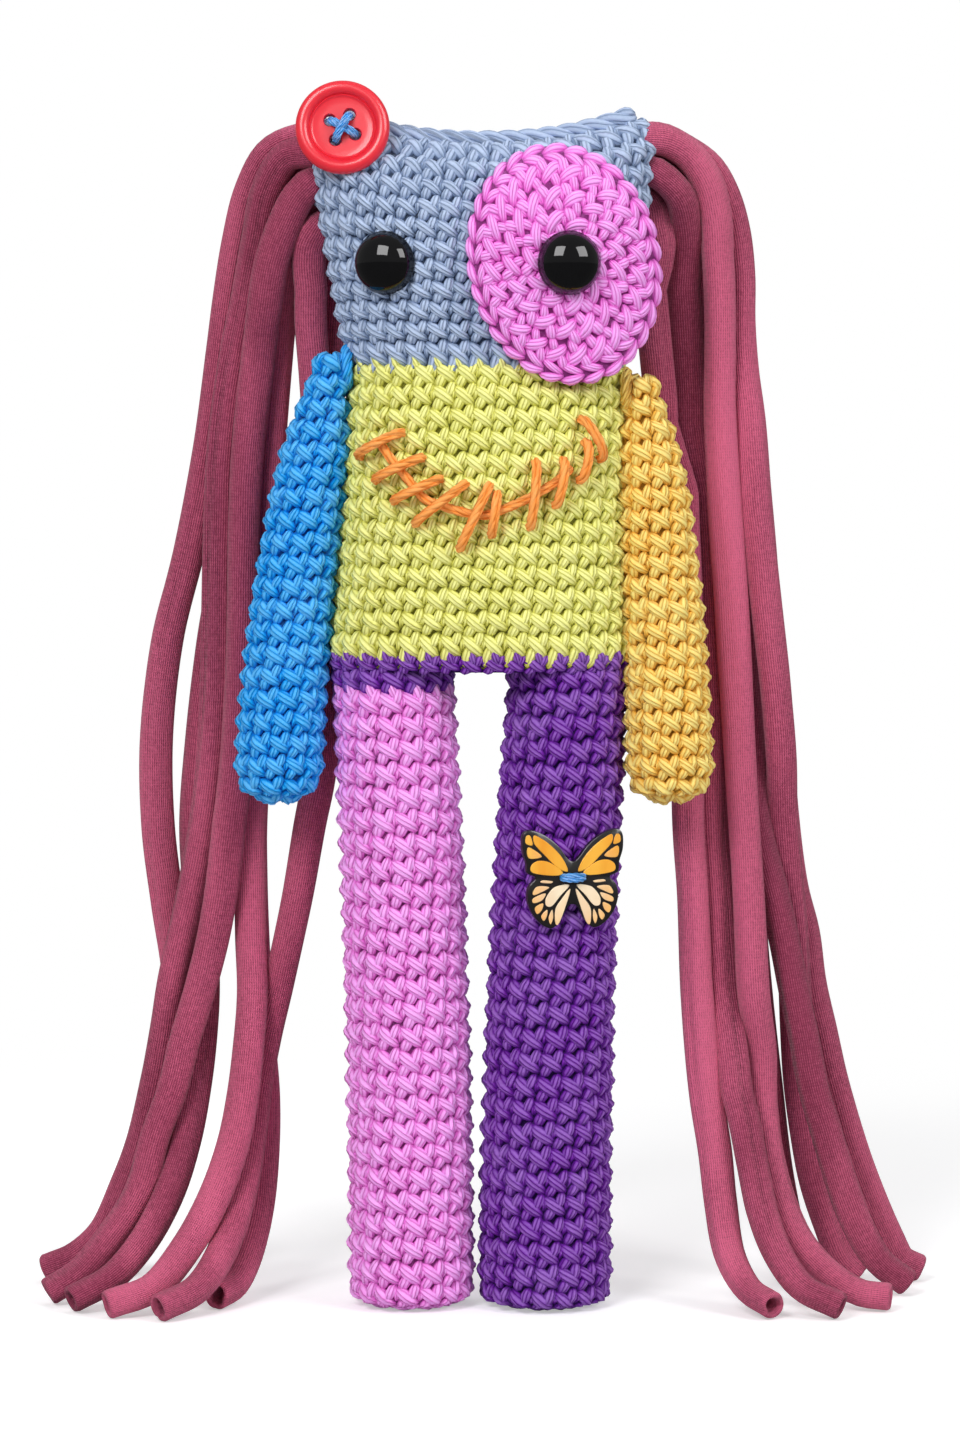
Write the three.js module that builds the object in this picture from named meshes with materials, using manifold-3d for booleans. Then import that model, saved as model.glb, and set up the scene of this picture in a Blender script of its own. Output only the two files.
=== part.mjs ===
// Amigurumi monster doll, standing, in millimetres: +Z up, front towards -Y, origin on the floor between the feet.
// A flat crocheted bag makes the head, the trunk and the pelvis. Two stuffed legs hang under it, two stuffed arms are
// sewn to its sides, and two bundles of rolled jersey strands hang from the top corners of the head to the floor.

import * as THREE from 'three';
import { mergeVertices } from 'three/addons/utils/BufferGeometryUtils.js';
import Module from 'manifold-3d';

const wasm = await Module();
wasm.setup();

// Crochet fabric and clearances
const wall = 3.2;
const gap = 0.3;
const overrun = 2;

// Legs
const legLength = 160;
const hipWidth = 28;
const pinkFootWidth = 29;
const purpleFootWidth = 31;
const pinkHipX = -22;
const purpleHipX = 22.3;
const pinkFootX = -17.3;
const purpleFootX = 16.4;
const legY = 1.5;
const soleRadius = 6;
const legOpeningWidth = 16;
const legOpeningDepth = 8;

// Trunk, pelvis and head
const pelvisHeight = 4;
const trunkHeight = 72.5;
const headHeight = 56.5;
const trunkWidth = 74;
const trunkDepth = 40;
const neckWidth = 66.2;
const neckDepth = 34;
const headWidth = 82.5;
const headDepth = 41;
const crownDepth = 9;
const cornerRise = 6.5;
const neckShift = 1.9;
const headShift = 0.7;
const pelvisEdge = 1.2;

// Arms
const armWidth = 19.4;
const armTopDepth = 13;
const armTopWidth = 6.6;
const armY = -3;
const armSlotWidth = 1.8;
const armSlotDepth = 7;
const handRadius = 7;
const blueArmLength = 110.3;
const yellowArmLength = 104.8;
const blueShoulderX = -38;
const yellowShoulderX = 41.2;
const blueHandX = -51.3;
const yellowHandX = 48.3;
const handDrop = 107.8;
const seamRingRadius = 4.2;
const seamYarn = 1.8;

// Eyes and the eye patch
const eyeDiameter = 15;
const eyeHeight = 6.2;
const eyeRim = 0.8;
const shankDiameter = 4.6;
const shankLength = 13;
const shankRidge = 0.35;
const shankPitch = 2.6;
const washerDiameter = 13;
const washerThickness = 1.5;
const washerClear = 1.4;
const leftEyeX = -23;
const rightEyeX = 21;
const eyeRise = 24.7;
const patchWidth = 47.5;
const patchHeight = 60;
const patchThickness = 3.6;
const patchX = 20.75;
const patchRise = 24.5;
const patchOverhang = 9;
const patchTiltDegrees = 13;

// Red button and its thread
const buttonDiameter = 23.2;
const buttonThickness = 4;
const buttonRim = 3.4;
const buttonRecess = 1.6;
const buttonHole = 2.9;
const buttonHoleCircle = 7.2;
const buttonX = -33.8;
const buttonRise = 2.9;
const buttonTiltDegrees = 8;
const buttonTurnDegrees = 16;
const buttonThread = 1.9;

// Butterfly button and its thread
const butterflyWidth = 26.4;
const butterflyHeight = 24.8;
const butterflyThickness = 2.2;
const butterflyHole = 2;
const butterflyHoleSpacing = 5;
const butterflyX = 23.5;
const butterflyDrop = 37;
const butterflyYawDegrees = 12;
const butterflyThread = 1.3;

// Mouth embroidery
const mouthYarn = 2.2;

// Pigtail strands
const strandDiameter = 7.2;
const strandStep = 1.8;
const routeFoot = 3.9;
const routeTop = 293.3;

// Section shape of the bag: 2 is an ellipse, more is squarer
const sectionPower = 2.3;
const cornerPower = 2.2;

// Where the doll stands, so that the origin is under the middle of the body, the limbs and the fittings
const sideOffset = 1.6;
const depthOffset = 4.6;

// Heights that follow from the sizes above
const hipRadius = hipWidth / 2;
const hipZ = legLength - hipRadius;
const thighZ = hipZ - hipWidth;
const pelvisBottom = legLength + gap;
const trunkBottom = pelvisBottom + pelvisHeight;
const neckZ = trunkBottom + trunkHeight;
const headTop = neckZ + headHeight;
const handZ = neckZ - handDrop;
const eyeZ = neckZ + eyeRise;
const patchZ = neckZ + patchRise;
const buttonZ = headTop + buttonRise;
const butterflyZ = hipZ - butterflyDrop;

// Share of the trunk's height, then how far its width and its depth go from the neck's size to the trunk's
const trunkShares = [
  [0, 0.97, 0.05],
  [0.15, 0.7, 0.7],
  [0.45, 0.36, 1],
  [0.72, 0.16, 0.85],
  [0.88, 0.04, 0.45],
];
// Share of the head's height, then how far its width, its depth and its shift go from the neck's to the head's
const cheekShares = [
  [0, 0, 0, 0],
  [0.106, 0.23, 0.27, 0.15],
  [0.283, 0.435, 0.7, 0.42],
  [0.46, 0.6, 1, 0.75],
  [0.637, 0.85, 0.8, 0.93],
];
// Share of the head's height, share of its width, then how far its depth goes from the crown's size to the head's
const crownShares = [
  [0.81, 0.998, 0.68],
  [0.885, 0.994, 0.46],
  [0.94, 0.972, 0.23],
  [0.985, 0.95, 0.06],
  [1, 0.935, -0.1],
];
const pelvisWidthShare = 0.98;
const pelvisDepthShare = 0.78;
const riseStartShare = 0.35;

// Share of an arm's length below the shoulder, then the share of its width
const armShares = [
  [0, 0.34],
  [0.06, 0.46],
  [0.1, 0.58],
  [0.2, 0.77],
  [0.33, 0.87],
  [0.44, 0.91],
  [0.55, 0.955],
  [0.67, 0.985],
  [0.8, 1],
  [1, 1],
];
const armLeanPower = 1.6;
const legLeanPower = 2;

const mix = (from, to, share) => from + (to - from) * share;
const clamp = THREE.MathUtils.clamp;
const radians = THREE.MathUtils.degToRad;
const vector = (x, y, z) => new THREE.Vector3(x, y, z);
const signedPower = (value, power) => Math.sign(value) * Math.abs(value) ** power;

// Smooth value of one column of a table whose first column rises
function along(rows, column, at) {
  let i = 1;
  while (i < rows.length - 1 && rows[i][0] < at) i += 1;
  const slope = (j) => {
    const before = rows[Math.max(j - 1, 0)];
    const after = rows[Math.min(j + 1, rows.length - 1)];
    return (after[column] - before[column]) / (after[0] - before[0]);
  };
  const span = rows[i][0] - rows[i - 1][0];
  const t = clamp((at - rows[i - 1][0]) / span, 0, 1);
  const lift = t * t * (3 - 2 * t);
  const leave = t * (1 - t) * (1 - t) * span * slope(i - 1);
  const arrive = t * t * (1 - t) * span * slope(i);
  return mix(rows[i - 1][column], rows[i][column], lift) + leave - arrive;
}

// Height, half width, half depth and sideways shift of the bag from the pelvis to the crown
const bagRows = [
  [pelvisBottom, trunkWidth * pelvisWidthShare / 2, trunkDepth * pelvisDepthShare / 2, 0],
  ...trunkShares.map(([height, width, depth]) => [
    mix(trunkBottom, neckZ, height),
    mix(neckWidth, trunkWidth, width) / 2,
    mix(neckDepth, trunkDepth, depth) / 2,
    neckShift * height,
  ]),
  ...cheekShares.map(([height, width, depth, shift]) => [
    mix(neckZ, headTop, height),
    mix(neckWidth, headWidth, width) / 2,
    mix(neckDepth, headDepth, depth) / 2,
    mix(neckShift, headShift, shift),
  ]),
  ...crownShares.map(([height, width, depth]) => [
    mix(neckZ, headTop, height),
    headWidth * width / 2,
    mix(crownDepth, headDepth, depth) / 2,
    headShift,
  ]),
];

function cornerLift(level, across) {
  const share = clamp((level - mix(neckZ, headTop, riseStartShare)) / (headHeight * (1 - riseStartShare)), 0, 1);
  return cornerRise * Math.abs(across) ** cornerPower * share * share * (3 - 2 * share);
}

function bagPoint(level, angle, inset = 0) {
  const across = signedPower(Math.cos(angle), 2 / sectionPower);
  const deep = signedPower(Math.sin(angle), 2 / sectionPower);
  return vector(
    along(bagRows, 3, level) + (along(bagRows, 1, level) - inset) * across,
    (along(bagRows, 2, level) - inset) * deep,
    level + cornerLift(level, across),
  );
}

// Depth coordinate of the bag's front at a place, on a bag made wider by some overhang
function bagFront(x, z, overhang = 0) {
  const acrossAt = (level) => (x - along(bagRows, 3, level)) / (along(bagRows, 1, level) + overhang);
  const level = z - cornerLift(z, acrossAt(z));
  const share = clamp(1 - Math.abs(acrossAt(level)) ** sectionPower, 0, 1);
  return -along(bagRows, 2, level) * share ** (1 / sectionPower);
}

// Place and outward direction on the bag's front
function frontSeat(x, z, overhang = 0) {
  const y = bagFront(x, z, overhang);
  const slopeX = (bagFront(x + gap, z, overhang) - bagFront(x - gap, z, overhang)) / (2 * gap);
  const slopeZ = (bagFront(x, z + gap, overhang) - bagFront(x, z - gap, overhang)) / (2 * gap);
  return { place: vector(x, y, z), out: vector(slopeX, -1, slopeZ).normalize() };
}

const turns = (count) => Array.from({ length: count }, (_, i) => (i / count) * Math.PI * 2);
const levels = (from, to, count) => Array.from({ length: count }, (_, i) => mix(from, to, i / (count - 1)));

function closedGeometry(positions, indices) {
  const geometry = new THREE.BufferGeometry();
  geometry.setAttribute('position', new THREE.Float32BufferAttribute(positions, 3));
  geometry.setIndex(indices);
  return facingOut(geometry);
}

// Turns every face over when the closed surface is inside out
function facingOut(geometry) {
  const position = geometry.getAttribute('position');
  const index = geometry.getIndex();
  const [a, b, c] = [vector(0, 0, 0), vector(0, 0, 0), vector(0, 0, 0)];
  let volume = 0;
  for (let i = 0; i < index.count; i += 3) {
    a.fromBufferAttribute(position, index.getX(i));
    b.fromBufferAttribute(position, index.getX(i + 1));
    c.fromBufferAttribute(position, index.getX(i + 2));
    volume += a.dot(b.cross(c));
  }
  if (volume < 0) {
    for (let i = 0; i < index.count; i += 3) {
      const first = index.getX(i);
      index.setX(i, index.getX(i + 1));
      index.setX(i + 1, first);
    }
  }
  return geometry;
}

// Closed solid through rings of equal count, with a strip of faces across each end ring
function loft(rings) {
  const count = rings[0].length;
  const positions = rings.flat().flatMap((p) => [p.x, p.y, p.z]);
  const indices = [];
  for (let r = 0; r + 1 < rings.length; r += 1) {
    for (let j = 0; j < count; j += 1) {
      const low = r * count;
      const high = low + count;
      const next = (j + 1) % count;
      indices.push(low + j, low + next, high + next, low + j, high + next, high + j);
    }
  }
  const last = (rings.length - 1) * count;
  for (let j = 0; j < count / 2; j += 1) {
    const [near, nearNext, farNext, far] = [j, j + 1, (count - j - 1) % count, (count - j) % count];
    if (nearNext !== farNext) {
      indices.push(near, farNext, nearNext);
      indices.push(last + near, last + nearNext, last + farNext);
    }
    if (near !== far) {
      indices.push(near, far, farNext);
      indices.push(last + near, last + farNext, last + far);
    }
  }
  return closedGeometry(positions, indices);
}

function bagLoft(ringLevels, inset = 0, count = 28) {
  return loft(ringLevels.map((level) => turns(count).map((angle) => bagPoint(level, angle, inset))));
}

function ovalRing(x, y, z, halfWidth, halfDepth, count = 24) {
  return turns(count).map((angle) => vector(x + halfWidth * Math.cos(angle), y + halfDepth * Math.sin(angle), z));
}

function solidOf(geometry) {
  const bare = geometry.clone();
  bare.deleteAttribute('normal');
  bare.deleteAttribute('uv');
  const merged = mergeVertices(bare, 1e-4);
  return new wasm.Manifold(new wasm.Mesh({
    numProp: 3,
    vertProperties: new Float32Array(merged.getAttribute('position').array),
    triVerts: new Uint32Array(merged.getIndex().array),
  }));
}

function geometryOf(solid) {
  const mesh = solid.getMesh();
  const positions = [];
  for (let i = 0; i < mesh.numVert; i += 1) {
    const at = i * mesh.numProp;
    positions.push(mesh.vertProperties[at], mesh.vertProperties[at + 1], mesh.vertProperties[at + 2]);
  }
  return closedGeometry(positions, Array.from(mesh.triVerts));
}

// First solid less all the others
function cut(geometry, ...tools) {
  return geometryOf(tools.reduce((solid, tool) => solid.subtract(solidOf(tool)), solidOf(geometry)));
}

function fuse(...geometries) {
  return geometryOf(geometries.slice(1).reduce((solid, next) => solid.add(solidOf(next)), solidOf(geometries[0])));
}

// Round tube along a smooth curve through points
function tube(points, diameter, steps, sides = 8) {
  const section = new THREE.Shape(turns(sides).map((angle) => (
    new THREE.Vector2(Math.cos(angle), Math.sin(angle)).multiplyScalar(diameter / 2)
  )));
  const path = new THREE.CatmullRomCurve3(points);
  const geometry = new THREE.ExtrudeGeometry(section, { steps, extrudePath: path, bevelEnabled: false });
  geometry.deleteAttribute('normal');
  geometry.deleteAttribute('uv');
  return facingOut(mergeVertices(geometry, 1e-4));
}

// Revolved profile of radius and height pairs, standing on a place along a direction
function turned(profile, place, direction, segments = 28) {
  const geometry = new THREE.LatheGeometry(profile.map(([r, h]) => new THREE.Vector2(r, h)), segments);
  geometry.deleteAttribute('normal');
  geometry.deleteAttribute('uv');
  geometry.applyQuaternion(new THREE.Quaternion().setFromUnitVectors(vector(0, 1, 0), direction));
  geometry.translate(place.x, place.y, place.z);
  return facingOut(mergeVertices(geometry, 1e-4));
}

const rod = (diameter, from, to, place, direction, segments = 16) => turned(
  [[0, from], [diameter / 2, from], [diameter / 2, to], [0, to]], place, direction, segments,
);

const doll = new THREE.Group();

function piece(name, geometry, color, roughness = 0.95) {
  const mesh = new THREE.Mesh(geometry, new THREE.MeshStandardMaterial({ color, roughness, metalness: 0 }));
  mesh.name = name;
  geometry.translate(sideOffset, depthOffset, 0);
  geometry.computeVertexNormals();
  doll.add(mesh);
}

const blueGrey = 0x8f9fc4;
const lime = 0xcdd36c;
const purple = 0x5b2a9a;
const pink = 0xe07fe0;
const skyBlue = 0x1f8fe0;
const yellowOrange = 0xf2b04a;
const fibre = 0xf2efe6;
const gloss = 0x0b0b0d;
const red = 0xe8323f;
const orange = 0xe8702a;
const plum = 0xb0496c;
const pale = 0xe9e6dc;

const eyes = {
  left: frontSeat(leftEyeX, eyeZ),
  right: frontSeat(rightEyeX, eyeZ, patchOverhang),
};
// The right eye stands on the patch, the left eye on the head itself
const eyeSeats = {
  left: eyes.left.place.clone().addScaledVector(eyes.left.out, gap),
  right: eyes.right.place.clone().addScaledVector(
    eyes.right.out, (patchThickness + 2 * gap) * Math.abs(eyes.right.out.y) + gap,
  ),
};
// The patch stands off the head, so the right washer sits that much deeper along its shank
const patchStandOff = bagFront(rightEyeX, eyeZ) - bagFront(rightEyeX, eyeZ, patchOverhang);
const washerSeats = {
  left: eyes.left.place.clone().addScaledVector(eyes.left.out, -wall - washerClear),
  right: eyes.right.place.clone().addScaledVector(eyes.right.out, -wall - 2 * washerClear - patchStandOff),
};

function bag() {
  const shankHole = (side) => rod(
    shankDiameter + 2 * (gap + shankRidge), -shankLength - overrun, eyeRim, eyeSeats[side], eyes[side].out,
  );
  const washerPocket = (side) => rod(
    washerDiameter + 2 * gap, -washerThickness - gap - overrun, wall + washerClear, washerSeats[side], eyes[side].out,
  );
  const crownZ = mix(neckZ, headTop, crownShares[0][0]);
  const fillingTop = headTop - wall - 2 * gap;
  const innerHead = [...levels(neckZ, crownZ, 7), ...levels(crownZ, fillingTop, 4).slice(1)];
  const innerTrunk = [pelvisBottom + wall + gap, ...levels(trunkBottom, neckZ, 7)];
  const head = bagLoft([...levels(neckZ, crownZ, 7), ...levels(crownZ, headTop, 6).slice(1)]);
  const headHollow = bagLoft([neckZ - overrun, ...innerHead, headTop - wall], wall);
  piece('head_cover', cut(head, headHollow, shankHole('left'), shankHole('right')), blueGrey);

  const trunk = bagLoft(levels(trunkBottom, neckZ, 7));
  const trunkHollow = bagLoft([...innerTrunk, neckZ + overrun], wall);
  piece('torso_cover', cut(trunk, trunkHollow), lime);

  const legOpening = (x) => loft(
    [pelvisBottom - overrun, trunkBottom].map((z) => ovalRing(x, legY, z, legOpeningWidth / 2, legOpeningDepth / 2)),
  );
  const pelvis = loft([
    turns(28).map((angle) => bagPoint(pelvisBottom, angle, pelvisEdge)),
    ...[pelvisBottom + pelvisEdge, trunkBottom].map((level) => turns(28).map((angle) => bagPoint(level, angle))),
  ]);
  const pelvisHollow = bagLoft([pelvisBottom + wall, trunkBottom, trunkBottom + overrun], wall);
  piece('pelvis_cover', cut(pelvis, pelvisHollow, legOpening(pinkHipX), legOpening(purpleHipX)), purple);

  const filling = bagLoft([...innerTrunk, ...innerHead.slice(1)], wall + gap);
  const pockets = ['left', 'right'].flatMap((side) => [shankHole(side), washerPocket(side)]);
  piece('body_stuffing', cut(filling, ...pockets), fibre);
}

// One leg: an upright tube with a flat sole and a top rounded about the hip axis
function leg(name, color, hipX, footX, footWidth) {
  const centreX = (z) => mix(footX, hipX, (z / legLength) ** legLeanPower);
  const halfWidth = (z) => mix(footWidth, hipWidth, z / legLength) / 2;
  const halfDepth = (z) => mix(footWidth, hipWidth, Math.min(z / thighZ, 1)) / 2;
  const rings = (inset, count) => {
    const bottom = inset;
    const corner = soleRadius - inset / 2;
    const reach = hipRadius - inset;
    const sole = [0, 30, 60, 90].map((degrees) => {
      const turn = radians(degrees);
      const z = bottom + corner * (1 - Math.cos(turn));
      const less = inset + corner * (1 - Math.sin(turn));
      return ovalRing(centreX(z), legY, z, halfWidth(z) - less, halfDepth(z) - less, count);
    });
    const shaft = levels(bottom + corner, hipZ, 6).slice(1).map((z) => (
      ovalRing(centreX(z), legY, z, halfWidth(z) - inset, halfDepth(z) - inset, count)
    ));
    const crown = [20, 40, 58, 74].map((degrees) => {
      const z = hipZ + reach * Math.sin(radians(degrees));
      return ovalRing(centreX(z), legY, z, halfWidth(z) - inset, reach * Math.cos(radians(degrees)), count);
    });
    return [...sole, ...shaft, ...crown];
  };
  const opening = loft([hipZ, legLength + overrun].map((z) => (
    ovalRing(centreX(legLength), legY, z, legOpeningWidth / 2, legOpeningDepth / 2)
  )));
  piece(`${name}_leg_cover`, cut(loft(rings(0, 20)), loft(rings(wall, 16)), opening), color);
  piece(`${name}_leg_stuffing`, loft(rings(wall + gap, 14)), fibre);
}

// One arm: a stuffed tube, flattened where it is sewn on, rounded about the shoulder axis
function arm(name, color, shoulderX, handX, length) {
  const shoulderZ = handZ + length - armTopWidth / 2;
  const reach = shoulderZ - handZ;
  const centreX = (t) => mix(shoulderX, handX, 1 - (1 - clamp(t, 0, 1)) ** armLeanPower);
  const halfWidth = (t) => armWidth * along(armShares, 1, t) / 2;
  const halfDepth = (t) => Math.max(halfWidth(t), mix(armTopDepth / 2, halfWidth(t), clamp(t * 4, 0, 1)));
  const rings = (inset, count) => {
    const top = inset > 0 ? [] : [70, 45, 20].map((degrees) => {
      const turn = radians(degrees);
      return ovalRing(
        shoulderX, armY, shoulderZ + armTopWidth / 2 * Math.sin(turn),
        armTopWidth / 2 * Math.cos(turn), armTopDepth / 2 * Math.cos(turn) ** 0.5, count,
      );
    });
    const start = inset > 0 ? 0.12 : 0;
    const end = 1 - handRadius / reach;
    const shaft = levels(start, end, 7).map((t) => (
      ovalRing(centreX(t), armY, shoulderZ - reach * t, halfWidth(t) - inset, halfDepth(t) - inset, count)
    ));
    const corner = handRadius - inset / 2;
    const hand = [30, 60, 82].map((degrees) => {
      const turn = radians(degrees);
      const radius = halfWidth(1) - inset - corner * (1 - Math.cos(turn));
      const z = handZ + inset + corner * (1 - Math.sin(turn));
      return ovalRing(handX, armY, z, radius, radius, count);
    });
    return [...top, ...shaft, ...hand];
  };
  const slot = loft([0.2, 0.12, 0.04, -0.08].map((t) => (
    ovalRing(centreX(t), armY, shoulderZ - reach * t, armSlotWidth / 2, armSlotDepth / 2, 16)
  )));
  piece(`${name}_arm_cover`, cut(loft(rings(0, 18)), loft(rings(wall, 14)), slot), color);
  piece(`${name}_arm_stuffing`, loft(rings(wall + gap, 12)), fibre);

  const side = Math.sign(shoulderX);
  const ringX = shoulderX - side * (armTopWidth / 2 + 2.5 * gap + seamYarn / 2);
  const ring = new THREE.TorusGeometry(seamRingRadius, seamYarn / 2, 6, 18);
  ring.rotateY(Math.PI / 2);
  ring.translate(ringX, armY, shoulderZ);
  ring.deleteAttribute('normal');
  ring.deleteAttribute('uv');
  piece(`${name}_arm_seam`, facingOut(mergeVertices(ring, 1e-4)), color);
}

function eyePatch() {
  const tilt = radians(patchTiltDegrees);
  const at = (radiusShare, angle, forward) => {
    const u = radiusShare * patchWidth / 2 * Math.cos(angle);
    const v = radiusShare * patchHeight / 2 * Math.sin(angle);
    const x = patchX + u * Math.cos(tilt) - v * Math.sin(tilt);
    const z = patchZ + u * Math.sin(tilt) + v * Math.cos(tilt);
    return vector(x, bagFront(x, z, patchOverhang) - 2 * gap - forward, z);
  };
  const ring = (radiusShare, thicknessShare) => turns(28).map((angle) => (
    at(radiusShare, angle, patchThickness * thicknessShare)
  ));
  const disc = loft([
    ring(0.1, 0), ring(0.3, 0), ring(0.5, 0), ring(0.7, 0), ring(0.85, 0), ring(0.96, 0),
    ring(1, 0.3), ring(1, 0.65), ring(0.95, 0.95), ring(0.7, 1), ring(0.4, 1), ring(0.1, 1),
  ]);
  const hole = rod(
    shankDiameter + 2 * (gap + shankRidge), -shankLength, patchThickness, eyeSeats.right, eyes.right.out,
  );
  piece('eye_patch', cut(disc, hole), pink);
}

// A domed plastic safety eye on a ridged shank, and the washer that grips it inside the head
function safetyEye(side) {
  const dome = [0, 22, 44, 66, 90].map((degrees) => [
    eyeDiameter / 2 * Math.sin(radians(degrees)),
    eyeRim + (eyeHeight - eyeRim) * Math.cos(radians(degrees)),
  ]);
  const ridges = [];
  for (let h = -shankPitch; h > -shankLength + shankPitch; h -= shankPitch) {
    ridges.push([shankDiameter / 2, h], [shankDiameter / 2 + shankRidge, h - shankPitch / 2]);
  }
  const profile = [
    ...dome,
    [eyeDiameter / 2 - eyeRim, 0],
    [shankDiameter / 2, 0],
    ...ridges,
    [shankDiameter / 2, -shankLength + shankPitch],
    [0, -shankLength],
  ];
  piece(`${side}_eye`, turned(profile, eyeSeats[side], eyes[side].out, 22), gloss, 0.05);
  const bore = shankDiameter / 2 + shankRidge + gap;
  piece(`${side}_eye_washer`, turned([
    [bore, 0], [washerDiameter / 2, 0], [washerDiameter / 2, -washerThickness], [bore, -washerThickness], [bore, 0],
  ], washerSeats[side], eyes[side].out, 18), pale, 0.4);
}

// Distance along a direction at which a flat back clears every sampled place within a radius
function seatDistance(samples, centre, direction, radius) {
  const near = samples.filter((p) => Math.hypot(p.x - centre.x, p.z - centre.z) < radius);
  return Math.max(...near.map((p) => p.dot(direction))) + gap;
}

function sewnThread(name, color, paths, diameter, frame) {
  const strands = paths.map((points) => tube(points, diameter, 12, 8));
  const geometry = strands.length > 1 ? fuse(...strands) : strands[0];
  geometry.applyMatrix4(frame);
  piece(name, geometry, color);
}

function redButton() {
  const tilt = radians(buttonTiltDegrees);
  const out = vector(0, -Math.cos(tilt), Math.sin(tilt));
  const samples = levels(mix(neckZ, headTop, 0.5), headTop, 24)
    .flatMap((level) => turns(72).map((angle) => bagPoint(level, angle)));
  const centre = vector(buttonX, 0, buttonZ);
  const distance = seatDistance(samples, centre, out, (buttonDiameter - buttonRim) / 2);
  centre.addScaledVector(out, distance - centre.dot(out));
  const radius = buttonDiameter / 2;
  const half = buttonRim / 2;
  const floor = buttonThickness - buttonRecess;
  const rim = [-20, 25, 65, 105, 150].map((degrees) => [
    radius - half + half * Math.cos(radians(degrees)),
    buttonThickness - half + half * Math.sin(radians(degrees)),
  ]);
  const profile = [[0, 0], [radius - half, 0], ...rim, [radius - buttonRim - half / 2, floor], [0, floor]];
  const disc = turned(profile, vector(0, 0, 0), vector(0, 1, 0), 32);
  const turn = radians(45 + buttonTurnDegrees);
  const corners = [0, 1, 2, 3].map((i) => vector(
    buttonHoleCircle / 2 * Math.cos(turn + i * Math.PI / 2), 0, -buttonHoleCircle / 2 * Math.sin(turn + i * Math.PI / 2),
  ));
  const holes = corners.map((p) => rod(buttonHole, -overrun, buttonThickness + overrun, p, vector(0, 1, 0), 12));
  const frame = new THREE.Matrix4().makeRotationFromQuaternion(
    new THREE.Quaternion().setFromUnitVectors(vector(0, 1, 0), out),
  ).setPosition(centre);
  const button = cut(disc, ...holes);
  button.applyMatrix4(frame);
  piece('red_button', button, red, 0.35);
  const stitch = (from, to, height) => [
    vector(from.x, -gap, from.z),
    vector(from.x, floor - gap, from.z),
    vector(mix(from.x, to.x, 0.12), floor + height * 0.8, mix(from.z, to.z, 0.12)),
    vector(mix(from.x, to.x, 0.5), floor + height, mix(from.z, to.z, 0.5)),
    vector(mix(from.x, to.x, 0.88), floor + height * 0.8, mix(from.z, to.z, 0.88)),
    vector(to.x, floor - gap, to.z),
    vector(to.x, -gap, to.z),
  ];
  sewnThread('button_thread', skyBlue, [
    stitch(corners[0], corners[2], buttonThread * 1.25),
    stitch(corners[1], corners[3], buttonThread * 0.8),
  ], buttonThread, frame);
}

// Right half of the butterfly's outline, from the notch over the head down to the tail, in shares of the half width
// and of the height, measured from the middle of the sewing thread
const butterflyShares = [
  [0, 0.16], [0.11, 0.2], [0.3, 0.33], [0.55, 0.43], [0.82, 0.48], [0.96, 0.43],
  [0.97, 0.28], [0.9, 0.15], [0.88, 0.05], [0.72, 0],
  [0.84, -0.08], [0.88, -0.2], [0.8, -0.34], [0.62, -0.46], [0.4, -0.51],
  [0.22, -0.42], [0.1, -0.3], [0, -0.27],
];

function butterflyButton() {
  const yaw = radians(butterflyYawDegrees);
  const out = vector(Math.sin(yaw), -Math.cos(yaw), 0);
  const centreX = mix(purpleFootX, purpleHipX, (butterflyZ / legLength) ** legLeanPower);
  const legRadius = mix(purpleFootWidth, hipWidth, (butterflyZ - butterflyHeight / 2) / legLength) / 2;
  const axisPoint = vector(centreX, legY, butterflyZ);
  const centre = vector(butterflyX, 0, butterflyZ);
  centre.addScaledVector(out, axisPoint.dot(out) + legRadius + gap - centre.dot(out));
  const right = butterflyShares.map(([x, z]) => new THREE.Vector2(x * butterflyWidth / 2, z * butterflyHeight));
  const left = right.slice(1, -1).reverse().map((p) => new THREE.Vector2(-p.x, p.y));
  const outline = new THREE.Shape([...right, ...left]);
  for (const side of [-1, 1]) {
    outline.holes.push(new THREE.Path(turns(12).map((angle) => new THREE.Vector2(
      side * butterflyHoleSpacing / 2 + butterflyHole / 2 * Math.cos(angle), butterflyHole / 2 * Math.sin(angle),
    ))));
  }
  const plate = new THREE.ExtrudeGeometry(outline, { depth: butterflyThickness, bevelEnabled: false });
  plate.deleteAttribute('normal');
  plate.deleteAttribute('uv');
  const frame = new THREE.Matrix4().makeBasis(
    vector(Math.cos(yaw), Math.sin(yaw), 0), vector(0, 0, 1), out,
  ).setPosition(centre);
  const geometry = mergeVertices(plate, 1e-4);
  geometry.applyMatrix4(frame);
  piece('butterfly_button', facingOut(geometry), 0x16120f, 0.4);
  const top = butterflyThickness;
  const half = butterflyHoleSpacing / 2;
  sewnThread('butterfly_thread', skyBlue, [[
    vector(-half, 0, 0),
    vector(-half, 0, top),
    vector(-half * 0.5, 0, top + butterflyThread / 2 + gap),
    vector(half * 0.5, 0, top + butterflyThread / 2 + gap),
    vector(half, 0, top),
    vector(half, 0, 0),
  ]], butterflyThread, frame);
}

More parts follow.
